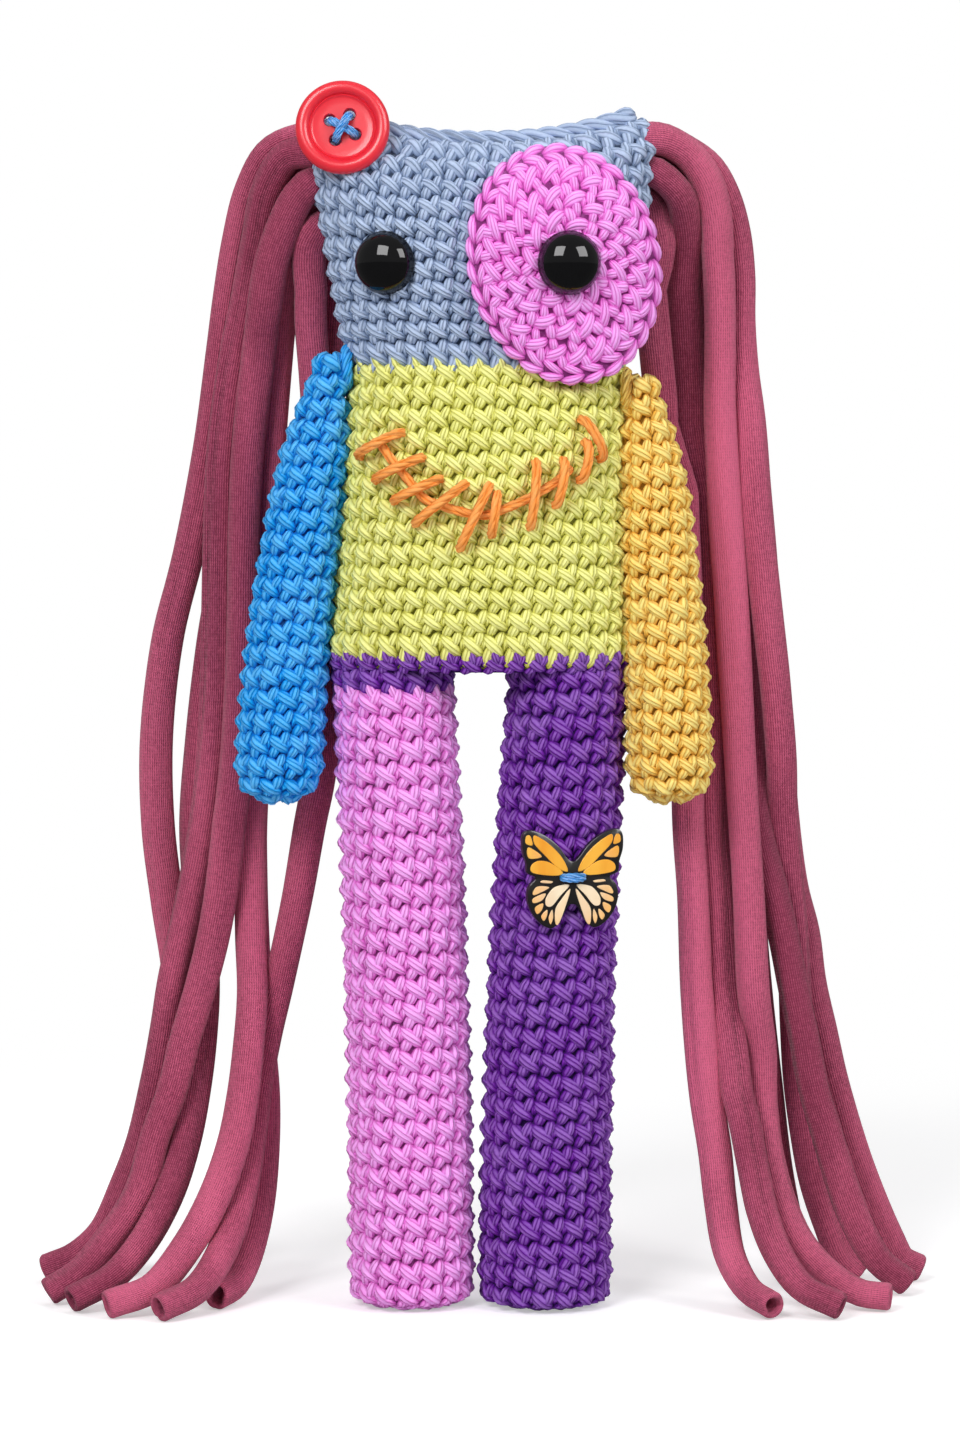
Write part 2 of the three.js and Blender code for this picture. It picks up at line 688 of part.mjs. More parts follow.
// Places of the mouth's embroidery on the trunk's front, as shares of the trunk's half width either side of its middle
// and of its height: first the long line, then the two ends of each stitch across it
const mouthShares = [
  [-0.65, 0.74], [-0.57, 0.678], [-0.44, 0.594], [-0.36, 0.545], [-0.24, 0.518], [-0.07, 0.494], [0.03, 0.488],
  [0.16, 0.51], [0.33, 0.55], [0.49, 0.6], [0.59, 0.65],
];
const crossShares = [
  [[-0.775, 0.683], [-0.5, 0.766]],
  [[-0.675, 0.603], [-0.37, 0.683]],
  [[-0.56, 0.533], [-0.255, 0.611]],
  [[-0.425, 0.457], [-0.09, 0.595]],
  [[-0.135, 0.373], [0.065, 0.591]],
  [[0.075, 0.42], [0.115, 0.56]],
  [[0.325, 0.445], [0.365, 0.67]],
  [[0.49, 0.519], [0.54, 0.675]],
  [[0.645, 0.603], [0.68, 0.735]],
  [[0.655, 0.812], [0.78, 0.675]],
];

function mouth() {
  const place = ([across, height], lift) => {
    const seat = frontSeat(across * trunkWidth / 2, mix(trunkBottom, neckZ, height));
    return seat.place.addScaledVector(seat.out, mouthYarn / 2 + gap + lift);
  };
  piece('mouth_line', tube(mouthShares.map((shares) => place(shares, 0)), mouthYarn, 14, 6), orange);
  crossShares.forEach(([from, to], i) => {
    const points = [0, 0.15, 0.3, 0.5, 0.7, 0.85, 1].map((t) => place(
      [mix(from[0], to[0], t), mix(from[1], to[1], t)],
      (mouthYarn + gap) * 1.35 * Math.sin(Math.PI * t) ** 0.7,
    ));
    piece(`mouth_stitch_${i + 1}`, tube(points, mouthYarn, 6, 6), orange);
  });
}

// Routes of the pigtail strands from the head's corners to the floor
const leftStrands = {
  a: [
    [-40, 8.7, 293.5], [-45, 9.3, 293.2], [-52, 10.5, 290.3], [-57.5, 13.5, 281], [-60.9, 16.9, 268.5],
    [-63.6, 20.3, 253.5], [-65.4, 22.6, 241], [-68.9, 22.6, 216], [-74, 23.5, 190.5], [-79.8, 23.5, 167.5],
    [-82.8, 23.5, 142], [-82.5, 23.5, 119.5], [-80.2, 25.5, 99], [-77.8, 28, 80], [-78, 31, 60],
    [-80, 34, 40], [-84, 37, 22], [-90, 41, 9], [-98, 45, 3.9],
  ],
  b: [
    [-41.8, 0.8, 289.4], [-47.8, 2.6, 288.6], [-52.8, 5.4, 281.2], [-55.8, 9.3, 268.3], [-58.8, 13.7, 253.3],
    [-61.6, 15.6, 240.5], [-64.8, 15.5, 218], [-66, 16, 196], [-66.5, 16, 173], [-67, 16, 150],
    [-69.2, 17, 125.8], [-73.3, 16.8, 103], [-78.2, 15.6, 82], [-80.6, 18, 68], [-83.5, 21, 53],
    [-87, 24.5, 38], [-91, 27, 27], [-97, 28.5, 14], [-104.5, 30, 7], [-111.3, 31.5, 3.9],
  ],
  c: [
    [-39.5, 9.5, 277.8], [-43.3, 9.9, 275.6], [-46.2, 11.6, 269.2], [-49, 15, 259], [-50.6, 17.5, 248],
    [-51.6, 18.8, 238], [-53.2, 19.3, 218], [-54.2, 19.3, 200], [-56.2, 19.3, 173], [-57.9, 19.3, 150],
    [-59, 19.3, 123], [-58.5, 17.5, 103], [-58.3, 15.5, 91], [-57.8, 12.5, 78], [-58.5, 9.3, 66],
    [-59.9, 6, 53], [-62.2, 2, 41], [-66.6, -2.6, 28.6], [-73.3, -8.3, 16.6], [-81.8, -14, 7], [-91.5, -18, 3.9],
  ],
  d: [
    [-41, 4, 270.4], [-42.7, 5, 267.5], [-43.9, 6.5, 263], [-44.7, 10, 250], [-44, 11.6, 238],
    [-42.4, 11.6, 216], [-41.5, 11.6, 198], [-40.2, 11.6, 178], [-39.4, 11.6, 158], [-39.6, 11.6, 143],
    [-41.2, 11.6, 130.7], [-43.2, 11.8, 120.7], [-46.3, 13, 103], [-48.9, 15, 90.7], [-51.8, 17.3, 78],
    [-54.8, 17.3, 65.7], [-57.2, 15, 53], [-58.5, 11, 41], [-60.5, 4.5, 28], [-64.3, -6, 15.6],
    [-70.5, -15, 7], [-78.5, -22, 3.9],
  ],
  e: [
    [-40, 8.7, 285.8], [-45.5, 10, 284.5], [-50.3, 13.8, 278.2], [-53.2, 17.6, 268.5], [-55.9, 22, 253.5],
    [-57.3, 24, 241], [-60.5, 23.8, 216], [-64, 24, 190], [-68.5, 24.2, 165], [-71.4, 24, 142],
    [-73, 24.2, 120], [-72, 24.4, 100], [-71, 21, 79], [-71.5, 18.5, 66], [-72.8, 15.5, 53],
    [-74.8, 10.7, 40.6], [-78.5, 4, 28], [-85, -1.5, 16], [-92.5, -6.5, 8], [-101, -11, 3.9],
  ],
  f: [
    [-33.4, 13.8, 271.4], [-36.3, 17.6, 269.6], [-38.9, 19.9, 263.4], [-40, 20.5, 254], [-40.8, 20.5, 242],
    [-42, 20.5, 222], [-46.5, 22.5, 198], [-51, 25, 174], [-55, 27, 150], [-58, 27, 128], [-58.6, 27, 105],
    [-58, 26.5, 84], [-57, 25.5, 66], [-55.6, 23, 50], [-55.5, 19, 36], [-56.5, 13.5, 22], [-59, 6.5, 11],
    [-62, 0, 5.2], [-65.5, -6.5, 3.9],
  ],
  g: [
    [-42.3, 0.8, 281.6], [-45.2, 1.3, 278.6], [-48.4, 2.3, 272.5], [-52, 4.2, 262.5], [-54, 7, 251],
    [-55.5, 11, 240], [-58.2, 11.6, 218], [-59.6, 11.6, 196], [-60, 11.6, 173], [-60.6, 11.6, 153],
    [-62, 11.6, 133], [-63.6, 11.6, 120.8], [-65.8, 11.6, 103], [-68, 11.6, 90.8], [-71.3, 11.6, 78],
    [-74.8, 10.5, 66], [-78, 8.8, 53.4], [-82.4, 7.3, 41.6], [-86.2, 6, 28], [-94, 4, 16], [-101, 2, 8],
    [-107.8, 0, 3.9],
  ],
};
const rightStrands = {
  a: [
    [42.5, 0.8, 292.9], [46, 2, 292.5], [51.6, 4, 289.4], [56.3, 5.8, 283.4], [58.9, 8.2, 274.8],
    [59.7, 10.5, 264.5], [60.3, 11.6, 253.3], [60.4, 11.6, 240], [60.3, 11.6, 228], [60.8, 11.6, 216],
    [61.9, 11.6, 198], [63.4, 11.6, 178], [64.7, 11.6, 158], [65.9, 11.6, 138], [67, 11.6, 121],
    [68.2, 11.4, 103], [69.5, 11, 78], [71.5, 14.2, 63], [71.8, 14, 53], [72, 13, 48], [73.4, 8.5, 36],
    [76.6, 4, 24.5], [81.3, -0.5, 15.5], [89, -4.5, 8], [95.5, -7.5, 4.5], [101.4, -9, 3.9],
  ],
  b: [
    [40.5, 8.6, 293.5], [45.5, 9.5, 293.5], [50.5, 11.4, 291.4], [57.2, 12.5, 287], [61.4, 14.5, 280.3],
    [64.3, 16, 270.8], [65.6, 17.3, 259.5], [65.6, 17.6, 248], [66.3, 16.5, 236], [67.9, 14.8, 223],
    [69.2, 13.2, 206], [70.8, 12.5, 191], [72.8, 12.2, 173], [74.8, 13, 156], [76.5, 15.5, 138],
    [77.4, 21.7, 121], [79.2, 26, 103], [80.4, 27, 91], [81.1, 27, 78], [81.6, 27, 66], [82.4, 26.5, 53],
    [84.4, 26, 38], [86.5, 26, 27], [90, 27, 16], [93.5, 28, 7.5], [97, 28.5, 3.9],
  ],
  c: [
    [43.3, 0.8, 284.8], [46.2, 1.7, 282.9], [49.8, 3.8, 278.9], [51.6, 9, 271.8], [52.5, 14.2, 263],
    [53.5, 16.5, 253], [54.2, 17, 242], [55.1, 17.4, 228], [55.4, 17.4, 216], [56.6, 17, 198],
    [57.5, 16.8, 178], [58.7, 16.4, 153], [58.8, 16.4, 138], [58.8, 16.5, 121], [60, 17, 103],
    [61.9, 15, 78], [63.9, 10.1, 63], [65, 7, 53], [66.3, 5, 48], [68.6, 0, 36], [70.9, -6, 24.5],
    [74.9, -12, 14.4], [80.5, -16.5, 7.4], [88.5, -19.5, 3.9],
  ],
  d: [
    [41.4, 8.8, 278.2], [43.4, 8.7, 275.6], [44.2, 7.9, 270.2], [46.3, 9.2, 263], [47.5, 10.8, 253],
    [48.8, 11.4, 240], [50, 11.5, 228], [50.5, 11.6, 216], [51.2, 11.6, 198], [52, 11.6, 178],
    [52.5, 11.6, 153], [52.8, 12, 121], [54, 12, 103], [55, 11.5, 78], [57.2, 8.5, 53], [59.5, 5.5, 38],
    [60.7, 0, 26], [62.8, -7, 13.5], [67.2, -13, 6.2], [72, -19.3, 3.9],
  ],
  e: [
    [40.6, 8.6, 285.9], [45, 9.7, 285.2], [49.5, 13.3, 281.6], [53.6, 17.8, 275.2], [55.8, 21, 265.4],
    [56.5, 24, 256], [56.2, 24.8, 242], [55.6, 25.3, 228], [56.5, 25.8, 218], [59.1, 26, 198],
    [60.4, 26, 178], [62, 26.5, 153], [64, 26.5, 138], [67, 26.5, 121], [68.6, 27, 103], [71, 27.5, 78],
    [74, 28, 53], [77.3, 30, 27.5], [81, 34, 12], [86, 40, 4.5], [91, 46, 3.9],
  ],
  f: [
    [30.5, 14.3, 284.8], [33.2, 17.6, 285.1], [38, 20.6, 284.2], [44.5, 22.5, 281.5], [51, 25.5, 277], [57.6, 27.6, 270.6],
    [61.8, 29, 262.4], [62.6, 29.5, 254], [63.2, 28.5, 242], [63.3, 25, 228], [63.5, 20.8, 218],
    [65, 19.5, 198], [66.1, 19.5, 178], [67.6, 19.5, 153], [68.9, 19.3, 138], [70, 19.3, 121],
    [74.7, 19, 103], [77.5, 19, 91], [80, 18.5, 78], [82.5, 17.5, 66], [84.9, 16, 53], [88.4, 14.5, 41],
    [92.1, 13, 29], [96.3, 12, 18], [101.6, 12, 9], [108, 12.5, 3.9],
  ],
  g: [
    [31.3, 16.2, 276.2], [33.7, 19.9, 275.8], [38.5, 23.9, 274.7], [45, 27.5, 272.5], [51, 32, 268],
    [56, 34.8, 261], [61.5, 37.2, 252], [65.5, 36, 240], [67.5, 33, 225], [68.5, 29, 212], [70, 27, 195],
    [71.5, 26, 178], [74.6, 26, 153], [76.3, 27.5, 138], [78, 30, 121], [80.8, 33.7, 103],
    [83.9, 34.5, 91], [85.6, 33.8, 78], [88.2, 32.8, 66], [91, 32, 53], [95.9, 31, 36], [99.9, 31, 25],
    [105.6, 31.5, 12], [109, 31.7, 6], [113, 32, 3.9],
  ],
};

function pigtail(side, strands) {
  Object.entries(strands).forEach(([name, route]) => {
    const points = route.map(([x, y, z]) => (
      vector(x, y, routeFoot + (z - routeFoot) * (headTop - routeFoot) / (routeTop - routeFoot))
    ));
    const length = new THREE.CatmullRomCurve3(points).getLength();
    piece(`${side}_strand_${name}`, tube(points, strandDiameter, Math.round(length / (strandStep * strandDiameter))), plum);
  });
}

bag();
leg('pink', pink, pinkHipX, pinkFootX, pinkFootWidth);
leg('purple', purple, purpleHipX, purpleFootX, purpleFootWidth);
arm('blue', skyBlue, blueShoulderX, blueHandX, blueArmLength);
arm('yellow', yellowOrange, yellowShoulderX, yellowHandX, yellowArmLength);
eyePatch();
safetyEye('left');
safetyEye('right');
redButton();
butterflyButton();
mouth();
pigtail('left', leftStrands);
pigtail('right', rightStrands);

export default doll;
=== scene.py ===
import math

import bmesh
import bpy
import numpy as np
from bpy.props import FloatProperty, FloatVectorProperty, IntProperty, PointerProperty
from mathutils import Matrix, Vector


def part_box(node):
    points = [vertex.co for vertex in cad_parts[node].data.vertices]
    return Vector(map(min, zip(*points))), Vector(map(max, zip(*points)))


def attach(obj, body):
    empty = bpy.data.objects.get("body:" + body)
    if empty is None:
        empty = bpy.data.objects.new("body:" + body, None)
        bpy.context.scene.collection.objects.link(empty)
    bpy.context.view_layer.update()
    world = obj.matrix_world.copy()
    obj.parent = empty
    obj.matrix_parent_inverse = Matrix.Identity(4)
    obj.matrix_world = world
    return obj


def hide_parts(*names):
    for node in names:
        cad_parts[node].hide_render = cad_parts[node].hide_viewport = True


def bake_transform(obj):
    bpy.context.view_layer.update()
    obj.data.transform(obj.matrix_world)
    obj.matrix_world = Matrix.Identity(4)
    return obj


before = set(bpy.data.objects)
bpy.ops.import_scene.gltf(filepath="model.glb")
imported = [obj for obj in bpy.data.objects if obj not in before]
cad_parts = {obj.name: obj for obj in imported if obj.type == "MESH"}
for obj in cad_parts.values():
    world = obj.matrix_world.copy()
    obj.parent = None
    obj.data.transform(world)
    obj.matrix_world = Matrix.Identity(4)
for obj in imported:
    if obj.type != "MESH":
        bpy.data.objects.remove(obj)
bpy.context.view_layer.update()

bl_info = {
    "name": "Amigurumi monster doll",
    "version": (1, 0, 0),
    "blender": (4, 5, 0),
    "location": "View3D > Sidebar > Doll",
    "description": "Crocheted covers, jersey pigtails, eyes, buttons and embroidery of a monster doll",
    "category": "Object",
}

MM = 0.001
TURN = 2 * math.pi
WHITE = (1, 1, 1)

# Sizes and places are in millimetres, except on the stage.
# Where the doll's own middle stands in the frame
SIDE_OFFSET = 1.6
DEPTH_OFFSET = 4.6

# Legs: hip x, foot x, foot width
LEGS = {"pink": (-22, -17.3, 29), "purple": (22.3, 16.4, 31)}
LEG_LENGTH = 160
HIP_WIDTH = 28
LEG_Y = 1.5
SOLE_RADIUS = 6
SOLE_HEIGHT = 1.8
SOLE_GAP = 0.1
THIGH_SHARE = 1.5

# Trunk, pelvis and head
CLEAR = 0.3
PELVIS_HEIGHT = 4
PELVIS_WIDTH_SHARE = 0.98
PELVIS_DEPTH_SHARE = 0.78
TRUNK_HEIGHT = 72.5
HEAD_HEIGHT = 56.5
TRUNK_WIDTH = 74
TRUNK_DEPTH = 40
NECK_WIDTH = 66.2
NECK_DEPTH = 34
HEAD_WIDTH = 82.5
HEAD_DEPTH = 41
CROWN_DEPTH = 9
CORNER_RISE = 6.5
NECK_SHIFT = 1.9
HEAD_SHIFT = 0.7
SECTION_POWER = 2.3
CORNER_POWER = 2.2
RISE_START = 0.35
PELVIS_Z = LEG_LENGTH + CLEAR
TRUNK_Z = PELVIS_Z + PELVIS_HEIGHT
NECK_Z = TRUNK_Z + TRUNK_HEIGHT
HEAD_TOP = NECK_Z + HEAD_HEIGHT

# Rounds of the bag's covers: where a cover starts under the next, and how the crown closes
PELVIS_ROUND = 0.9
PELVIS_LAP = 0.6
PELVIS_LIFT = -0.4
TORSO_ROUNDS = 13
HEAD_ROUNDS = 11
COVER_LAP = 0.5
CROWN_DROP = 1.8
CROWN_SHUT_SHARE = 0.6
SHUT_ROUNDS = 1.5
CROWN_YARN = 5.0
SEAM_INSET = 0.8
SEAM_DROP = 1.2
SEAM_Y = -0.4

# Arms: shoulder x, hand x, length
ARMS = {"blue": (-38, -51.3, 110.3), "yellow": (41.2, 48.3, 104.8)}
ARM_WIDTH = 19.4
ARM_TOP_DEPTH = 13
ARM_TOP_WIDTH = 6.6
ARM_Y = -3
ARM_LEAN = 0.9
ARM_BEND_POWER = 1.6
ARM_FLAT_SHARE = 0.25
HAND_Z = 129
HAND_RADIUS = 7
SEAM_YARN = 3.0
SEAM_RADIUS = 4.2

# Patch
PATCH_WIDTH = 47.5
PATCH_HEIGHT = 60
PATCH_THICKNESS = 3.6
PATCH_X = 20.75
PATCH_Z = 261.3
PATCH_OVERHANG = 9
PATCH_TILT = 13
PATCH_EDGE_SHARE = 0.14
PATCH_REACH_SHARE = 1.14
PATCH_RIM_SHARE = 0.25
PATCH_ROUNDS = 4
PATCH_BORDER = 0.8
PATCH_SCALLOP = 0.3
PATCH_DRIFT = 0.05
CHAIN_OVER = 0.12

# Eyes, with the points of the rim as (beyond the dome's radius, height over the cover)
EYE_HEIGHT = 6.2
EYE_RIM = 0.8
EYE_RIM_POINTS = [(-0.5, -0.25), (0.15, -0.1), (0.35, 0.3), (0.2, 0.75)]
EYE_RISE = 24.7
LEFT_EYE_X = -23
RIGHT_EYE_X = 21
SHANK_LENGTH = 13
SHANK_RADIUS = 2.3
SHANK_CHAMFER = (0.4, 0.6)

# Red button: its well is (in from the edge, height over its floor), a hole's flare is (beyond the hole's
# radius, height over the floor), and its shift is right, back and up of the solid that it stands for
BUTTON_RADIUS = 11.6
BUTTON_THICKNESS = 4.0
BUTTON_FLOOR = 2.4
BUTTON_BACK_ROUND = 1.7
BUTTON_FRONT_ROUND = 1.75
BUTTON_WELL = [(3.7, 0.45), (4.0, 0.12), (4.4, 0), (6.0, -0.02), (BUTTON_RADIUS, -0.05)]
BUTTON_HOLES = 3.6
BUTTON_HOLE_RADIUS = 1.4
BUTTON_FLARE = [(0, -0.5), (0.15, -0.15), (0.5, 0.2)]
BUTTON_TURN = 61
BUTTON_TILT = 8
BUTTON_SHIFT = np.array([0, -0.6, -3])
# Its cross of thread: the height of each arm over the floor, and how far aside an arm's two strands run
CROSS_YARN = 1.25
CROSS_HEIGHTS = (2.3, 1.3)
CROSS_ASIDE = 0.42
DRILL_OVER = 1

# Butterfly button: half its width, its edge and its painted cells as (inset, height over the front), and its
# shift across, up and forward of the solid
BUTTERFLY_HALF = 13.2
BUTTERFLY_HEIGHT = 24.8
BUTTERFLY_THICKNESS = 2.2
BUTTERFLY_CHAMFER = 0.3
BUTTERFLY_EDGE = [(0, -0.5), (0.12, -0.15), (0.4, 0)]
CELL_EDGE = [(-0.05, -0.2), (0.0, 0.1), (0.14, 0.22)]
BUTTERFLY_HOLES = 2.5
BUTTERFLY_HOLE_RADIUS = 0.95
BUTTERFLY_YAW = 12
BUTTERFLY_SHIFT = (-3.8, 1.0, 0.9)
BAR_YARN = 1.3
BAR_ASIDE = 0.45

# Yarn: the height of a round, the width of a stitch, and how far a round's start drifts from the last one's
ROW = 5.5
PITCH = 5.3
LEG_ROW = 5.9
LEG_PITCH = 5.7
LEG_TUCK = 1.3
DRIFT = 0.12
TIP_START = 0.45
STITCH_ARCH = 2.9
STITCH_DIVE = 1.1

# The shell under the stitches, and the rings that limbs, patch and strands are made of
SHELL_ROWS = 6
SHELL_COLUMNS = 64
SHELL_DEPTH = 0.65
# The shell's place on the plies, and a painted light level below zero that paints the shell in the deepest
# shade, a dark sheet showing between the stitches
SHELL_PLY_AND_SHADE = (0.5, 0.5, -0.3)
LIMB_SIDES = 96
PATCH_SIDES = 120
CORNER_STEPS = 7
STRAND_SIDES = 28
STRAND_SPREAD = 0.17
STRAND_FLATNESS = 0.1
# How far in a strand's creases take painted shade, as a share of its radius, and how strongly that painted
# shade darkens them
CREASE_DEPTH = 0.2
CREASE_SHADE = 4
PLY_OFF_SHARE = 0.25
PLY_RADIUS_SHARE = 0.3

# Camera, in millimetres
CAMERA_LENS = 115
CAMERA_SENSOR = 36
CAMERA_DISTANCE = 1150
CAMERA_HEIGHT = 222
CAMERA_AIM = 148

# Stage, in metres: a lamp's place, size, power in watts, and whether it shows in reflections alone
FLOOR_REACH = 9
FLOOR_FADE = (0.2, 0.5)
SURROUND_STRENGTH = 0.3
LAMP_AIM = (0, 0, 0.15)
LAMPS = {
    "key": ((-0.6, -1.25, 1.15), 0.62, 17.0, False),
    "fill": ((1.15, -0.95, 1.05), 0.62, 10.5, False),
    "top": ((0.0, 0.3, 1.5), 0.9, 4.0, False),
    "left_window": ((-0.57, -1.19, 1.10), 0.85, 22.0, True),
    "right_window": ((1.09, -0.90, 1.0), 0.8, 17.0, True),
}

# Shares of the bag from the pelvis up: height, width and depth, and in the cheeks the shift sideways
TRUNK_SHARES = [(0, 0.97, 0.05), (0.15, 0.7, 0.7), (0.45, 0.36, 1), (0.72, 0.16, 0.85), (0.88, 0.04, 0.45)]
CHEEK_SHARES = [
    (0, 0, 0, 0),
    (0.106, 0.23, 0.27, 0.15),
    (0.283, 0.435, 0.7, 0.42),
    (0.46, 0.6, 1, 0.75),
    (0.637, 0.85, 0.8, 0.93),
]
CROWN_SHARES = [
    (0.81, 0.998, 0.68), (0.885, 0.994, 0.46), (0.94, 0.972, 0.23), (0.985, 0.95, 0.06), (1, 0.935, -0.1),
]
# Shares of an arm from the shoulder down: length and width
ARM_SHARES = [
    (0, 0.34), (0.06, 0.46), (0.1, 0.58), (0.2, 0.77), (0.33, 0.87), (0.44, 0.91), (0.55, 0.955),
    (0.67, 0.985), (0.8, 1), (1, 1),
]


def mix(a, b, t):
    return a + (b - a) * t


def run_along(points):
    """How far along a line each of its points lies."""
    return np.concatenate([[0], np.cumsum(np.linalg.norm(np.diff(points, axis=0), axis=1))])


def along(rows, column, at):
    """Smooth value of one column of a table whose first column rises."""
    rows = np.asarray(rows, float)
    keys = rows[:, 0]
    at = np.asarray(at, float)
    i = np.clip(np.searchsorted(keys, at, side="left"), 1, len(keys) - 1)
    lo = np.maximum(np.arange(len(keys)) - 1, 0)
    hi = np.minimum(np.arange(len(keys)) + 1, len(keys) - 1)
    values = rows[:, column]
    slope = (values[hi] - values[lo]) / (keys[hi] - keys[lo])
    span = keys[i] - keys[i - 1]
    t = np.clip((at - keys[i - 1]) / span, 0, 1)
    lift = t * t * (3 - 2 * t)
    leave = t * (1 - t) ** 2 * span * slope[i - 1]
    arrive = t * t * (1 - t) * span * slope[i]
    return mix(values[i - 1], values[i], lift) + leave - arrive


# Sections of the bag from the pelvis up: level, half width, half depth and shift sideways
BAG_ROWS = [(PELVIS_Z, TRUNK_WIDTH * PELVIS_WIDTH_SHARE / 2, TRUNK_DEPTH * PELVIS_DEPTH_SHARE / 2, 0)]
BAG_ROWS += [
    (
        mix(TRUNK_Z, NECK_Z, h),
        mix(NECK_WIDTH, TRUNK_WIDTH, w) / 2,
        mix(NECK_DEPTH, TRUNK_DEPTH, d) / 2,
        NECK_SHIFT * h,
    )
    for h, w, d in TRUNK_SHARES
]
BAG_ROWS += [
    (
        mix(NECK_Z, HEAD_TOP, h),
        mix(NECK_WIDTH, HEAD_WIDTH, w) / 2,
        mix(NECK_DEPTH, HEAD_DEPTH, d) / 2,
        mix(NECK_SHIFT, HEAD_SHIFT, s),
    )
    for h, w, d, s in CHEEK_SHARES
]
BAG_ROWS += [
    (mix(NECK_Z, HEAD_TOP, h), HEAD_WIDTH * w / 2, mix(CROWN_DEPTH, HEAD_DEPTH, d) / 2, HEAD_SHIFT)
    for h, w, d in CROWN_SHARES
]


def corner_lift(level, across):
    share = np.clip((level - mix(NECK_Z, HEAD_TOP, RISE_START)) / (HEAD_HEIGHT * (1 - RISE_START)), 0, 1)
    return CORNER_RISE * np.abs(across) ** CORNER_POWER * share * share * (3 - 2 * share)


def bag_ring(level, count=240):
    """Points of the bag at a level, from the middle of the back round by the doll's right side."""
    angle = math.pi / 2 + np.arange(count) / count * TURN
    across = np.sign(np.cos(angle)) * np.abs(np.cos(angle)) ** (2 / SECTION_POWER)
    deep = np.sign(np.sin(angle)) * np.abs(np.sin(angle)) ** (2 / SECTION_POWER)
    x = along(BAG_ROWS, 3, level) + along(BAG_ROWS, 1, level) * across
    y = along(BAG_ROWS, 2, level) * deep
    return np.stack([x, y, level + corner_lift(level, across)], 1)


def bag_front(x, z, overhang=0.0):
    level = z - corner_lift(z, (x - along(BAG_ROWS, 3, z)) / (along(BAG_ROWS, 1, z) + overhang))
    across = (x - along(BAG_ROWS, 3, level)) / (along(BAG_ROWS, 1, level) + overhang)
    share = np.clip(1 - np.abs(across) ** SECTION_POWER, 0, 1)
    return -along(BAG_ROWS, 2, level) * share ** (1 / SECTION_POWER)


def front_seat(x, z, overhang=0.0):
    """Place and outward direction on the bag's front."""
    y = bag_front(x, z, overhang)
    slope_x = (bag_front(x + CLEAR, z, overhang) - bag_front(x - CLEAR, z, overhang)) / (2 * CLEAR)
    slope_z = (bag_front(x, z + CLEAR, overhang) - bag_front(x, z - CLEAR, overhang)) / (2 * CLEAR)
    out = np.array([slope_x, -1.0, slope_z])
    return np.array([x, float(y), z]), out / np.linalg.norm(out)


class Skin:
    """A closed-round surface: v counts rounds along it, u is the share of the way round, h stands off it."""

    def __init__(self, ring, start, end, rows=150, columns=288, pitch=PITCH):
        self.start, self.end, self.pitch = start, end, pitch
        grid = []
        for v in np.linspace(start, end, rows):
            loop = ring(v)
            loop = np.vstack([loop, loop[:1]])
            run = run_along(loop)
            at = np.linspace(0, run[-1], columns + 1)
            grid.append(np.stack([np.interp(at, run, loop[:, k]) for k in range(3)], 1))
        self.points = np.array(grid)
        self.girth = [run_along(row)[-1] for row in self.points]
        ring_step = np.roll(self.points[:, :-1], -1, 1) - np.roll(self.points[:, :-1], 1, 1)
        ring_step = np.concatenate([ring_step, ring_step[:, :1]], 1)
        out = np.cross(ring_step, np.gradient(self.points, axis=0))
        size = np.linalg.norm(out, axis=2, keepdims=True)
        self.normals = out / np.maximum(size, 1e-9)
        middle = self.points.mean(axis=1, keepdims=True)
        if ((self.points - middle) * self.normals)[rows // 2].sum() < 0:
            self.normals = -self.normals

    def place(self, u, v, h):
        rows, columns = self.points.shape[0], self.points.shape[1] - 1
        a = (u % 1) * columns
        b = np.clip((v - self.start) / (self.end - self.start), 0, 1) * (rows - 1)
        i, j = np.minimum(a.astype(int), columns - 1), np.minimum(b.astype(int), rows - 2)
        s, t = (a - i)[:, None], (b - j)[:, None]

        def sample(grid):
            low = mix(grid[j, i], grid[j, i + 1], s)
            return mix(low, mix(grid[j + 1, i], grid[j + 1, i + 1], s), t)

        return sample(self.points) + sample(self.normals) * np.asarray(h)[:, None]

    def stitches(self, v):
        """How many stitches a round has."""
        share = (v - 0.5 - self.start) / (self.end - self.start) * (len(self.girth) - 1)
        return max(5, round(np.interp(share, range(len(self.girth)), self.girth) / self.pitch))


# A lobe's part of a half wave, how deep it sinks into the cover, and the heights between which its colour
# goes from painted shade in the hollows to painted highlight on top
LOBE_SPAN = (0.06, 0.92)
LOBE_SINK = 1.35
HOLLOW_HEIGHT = 0.35
HOLLOW_TO_TOP = 1.6
# Lobes of one stitch, in shares of its pitch and of a round's height: start, end and width, then the height
# in millimetres and the faces along and across
STITCH_LOBES = [
    ((-0.02, 0.04), (0.98, -0.82), 0.64, 2.65, 6, 4),
    ((0.98, 0.22), (0.62, -0.52), 0.54, 2.60, 4, 4),
    ((0.48, -0.44), (0.06, -1.08), 0.60, 2.30, 3, 4),
    ((0.18, 0.04), (-0.06, -0.64), 0.46, 1.85, 2, 4),
]
# Point of a stitch that shows between the tips of the next colour
SPIKE_LOBES = [((0.66, -0.40), (0.40, 0.62), 0.46, 2.9, 6, 4)]
# Chain that binds the patch's edge
CHAIN_LOBES = [
    ((-0.14, -0.14), (1.10, -0.48), 0.46, 2.4, 6, 4),
    ((-0.14, -0.94), (1.06, -0.58), 0.46, 2.3, 6, 4),
]


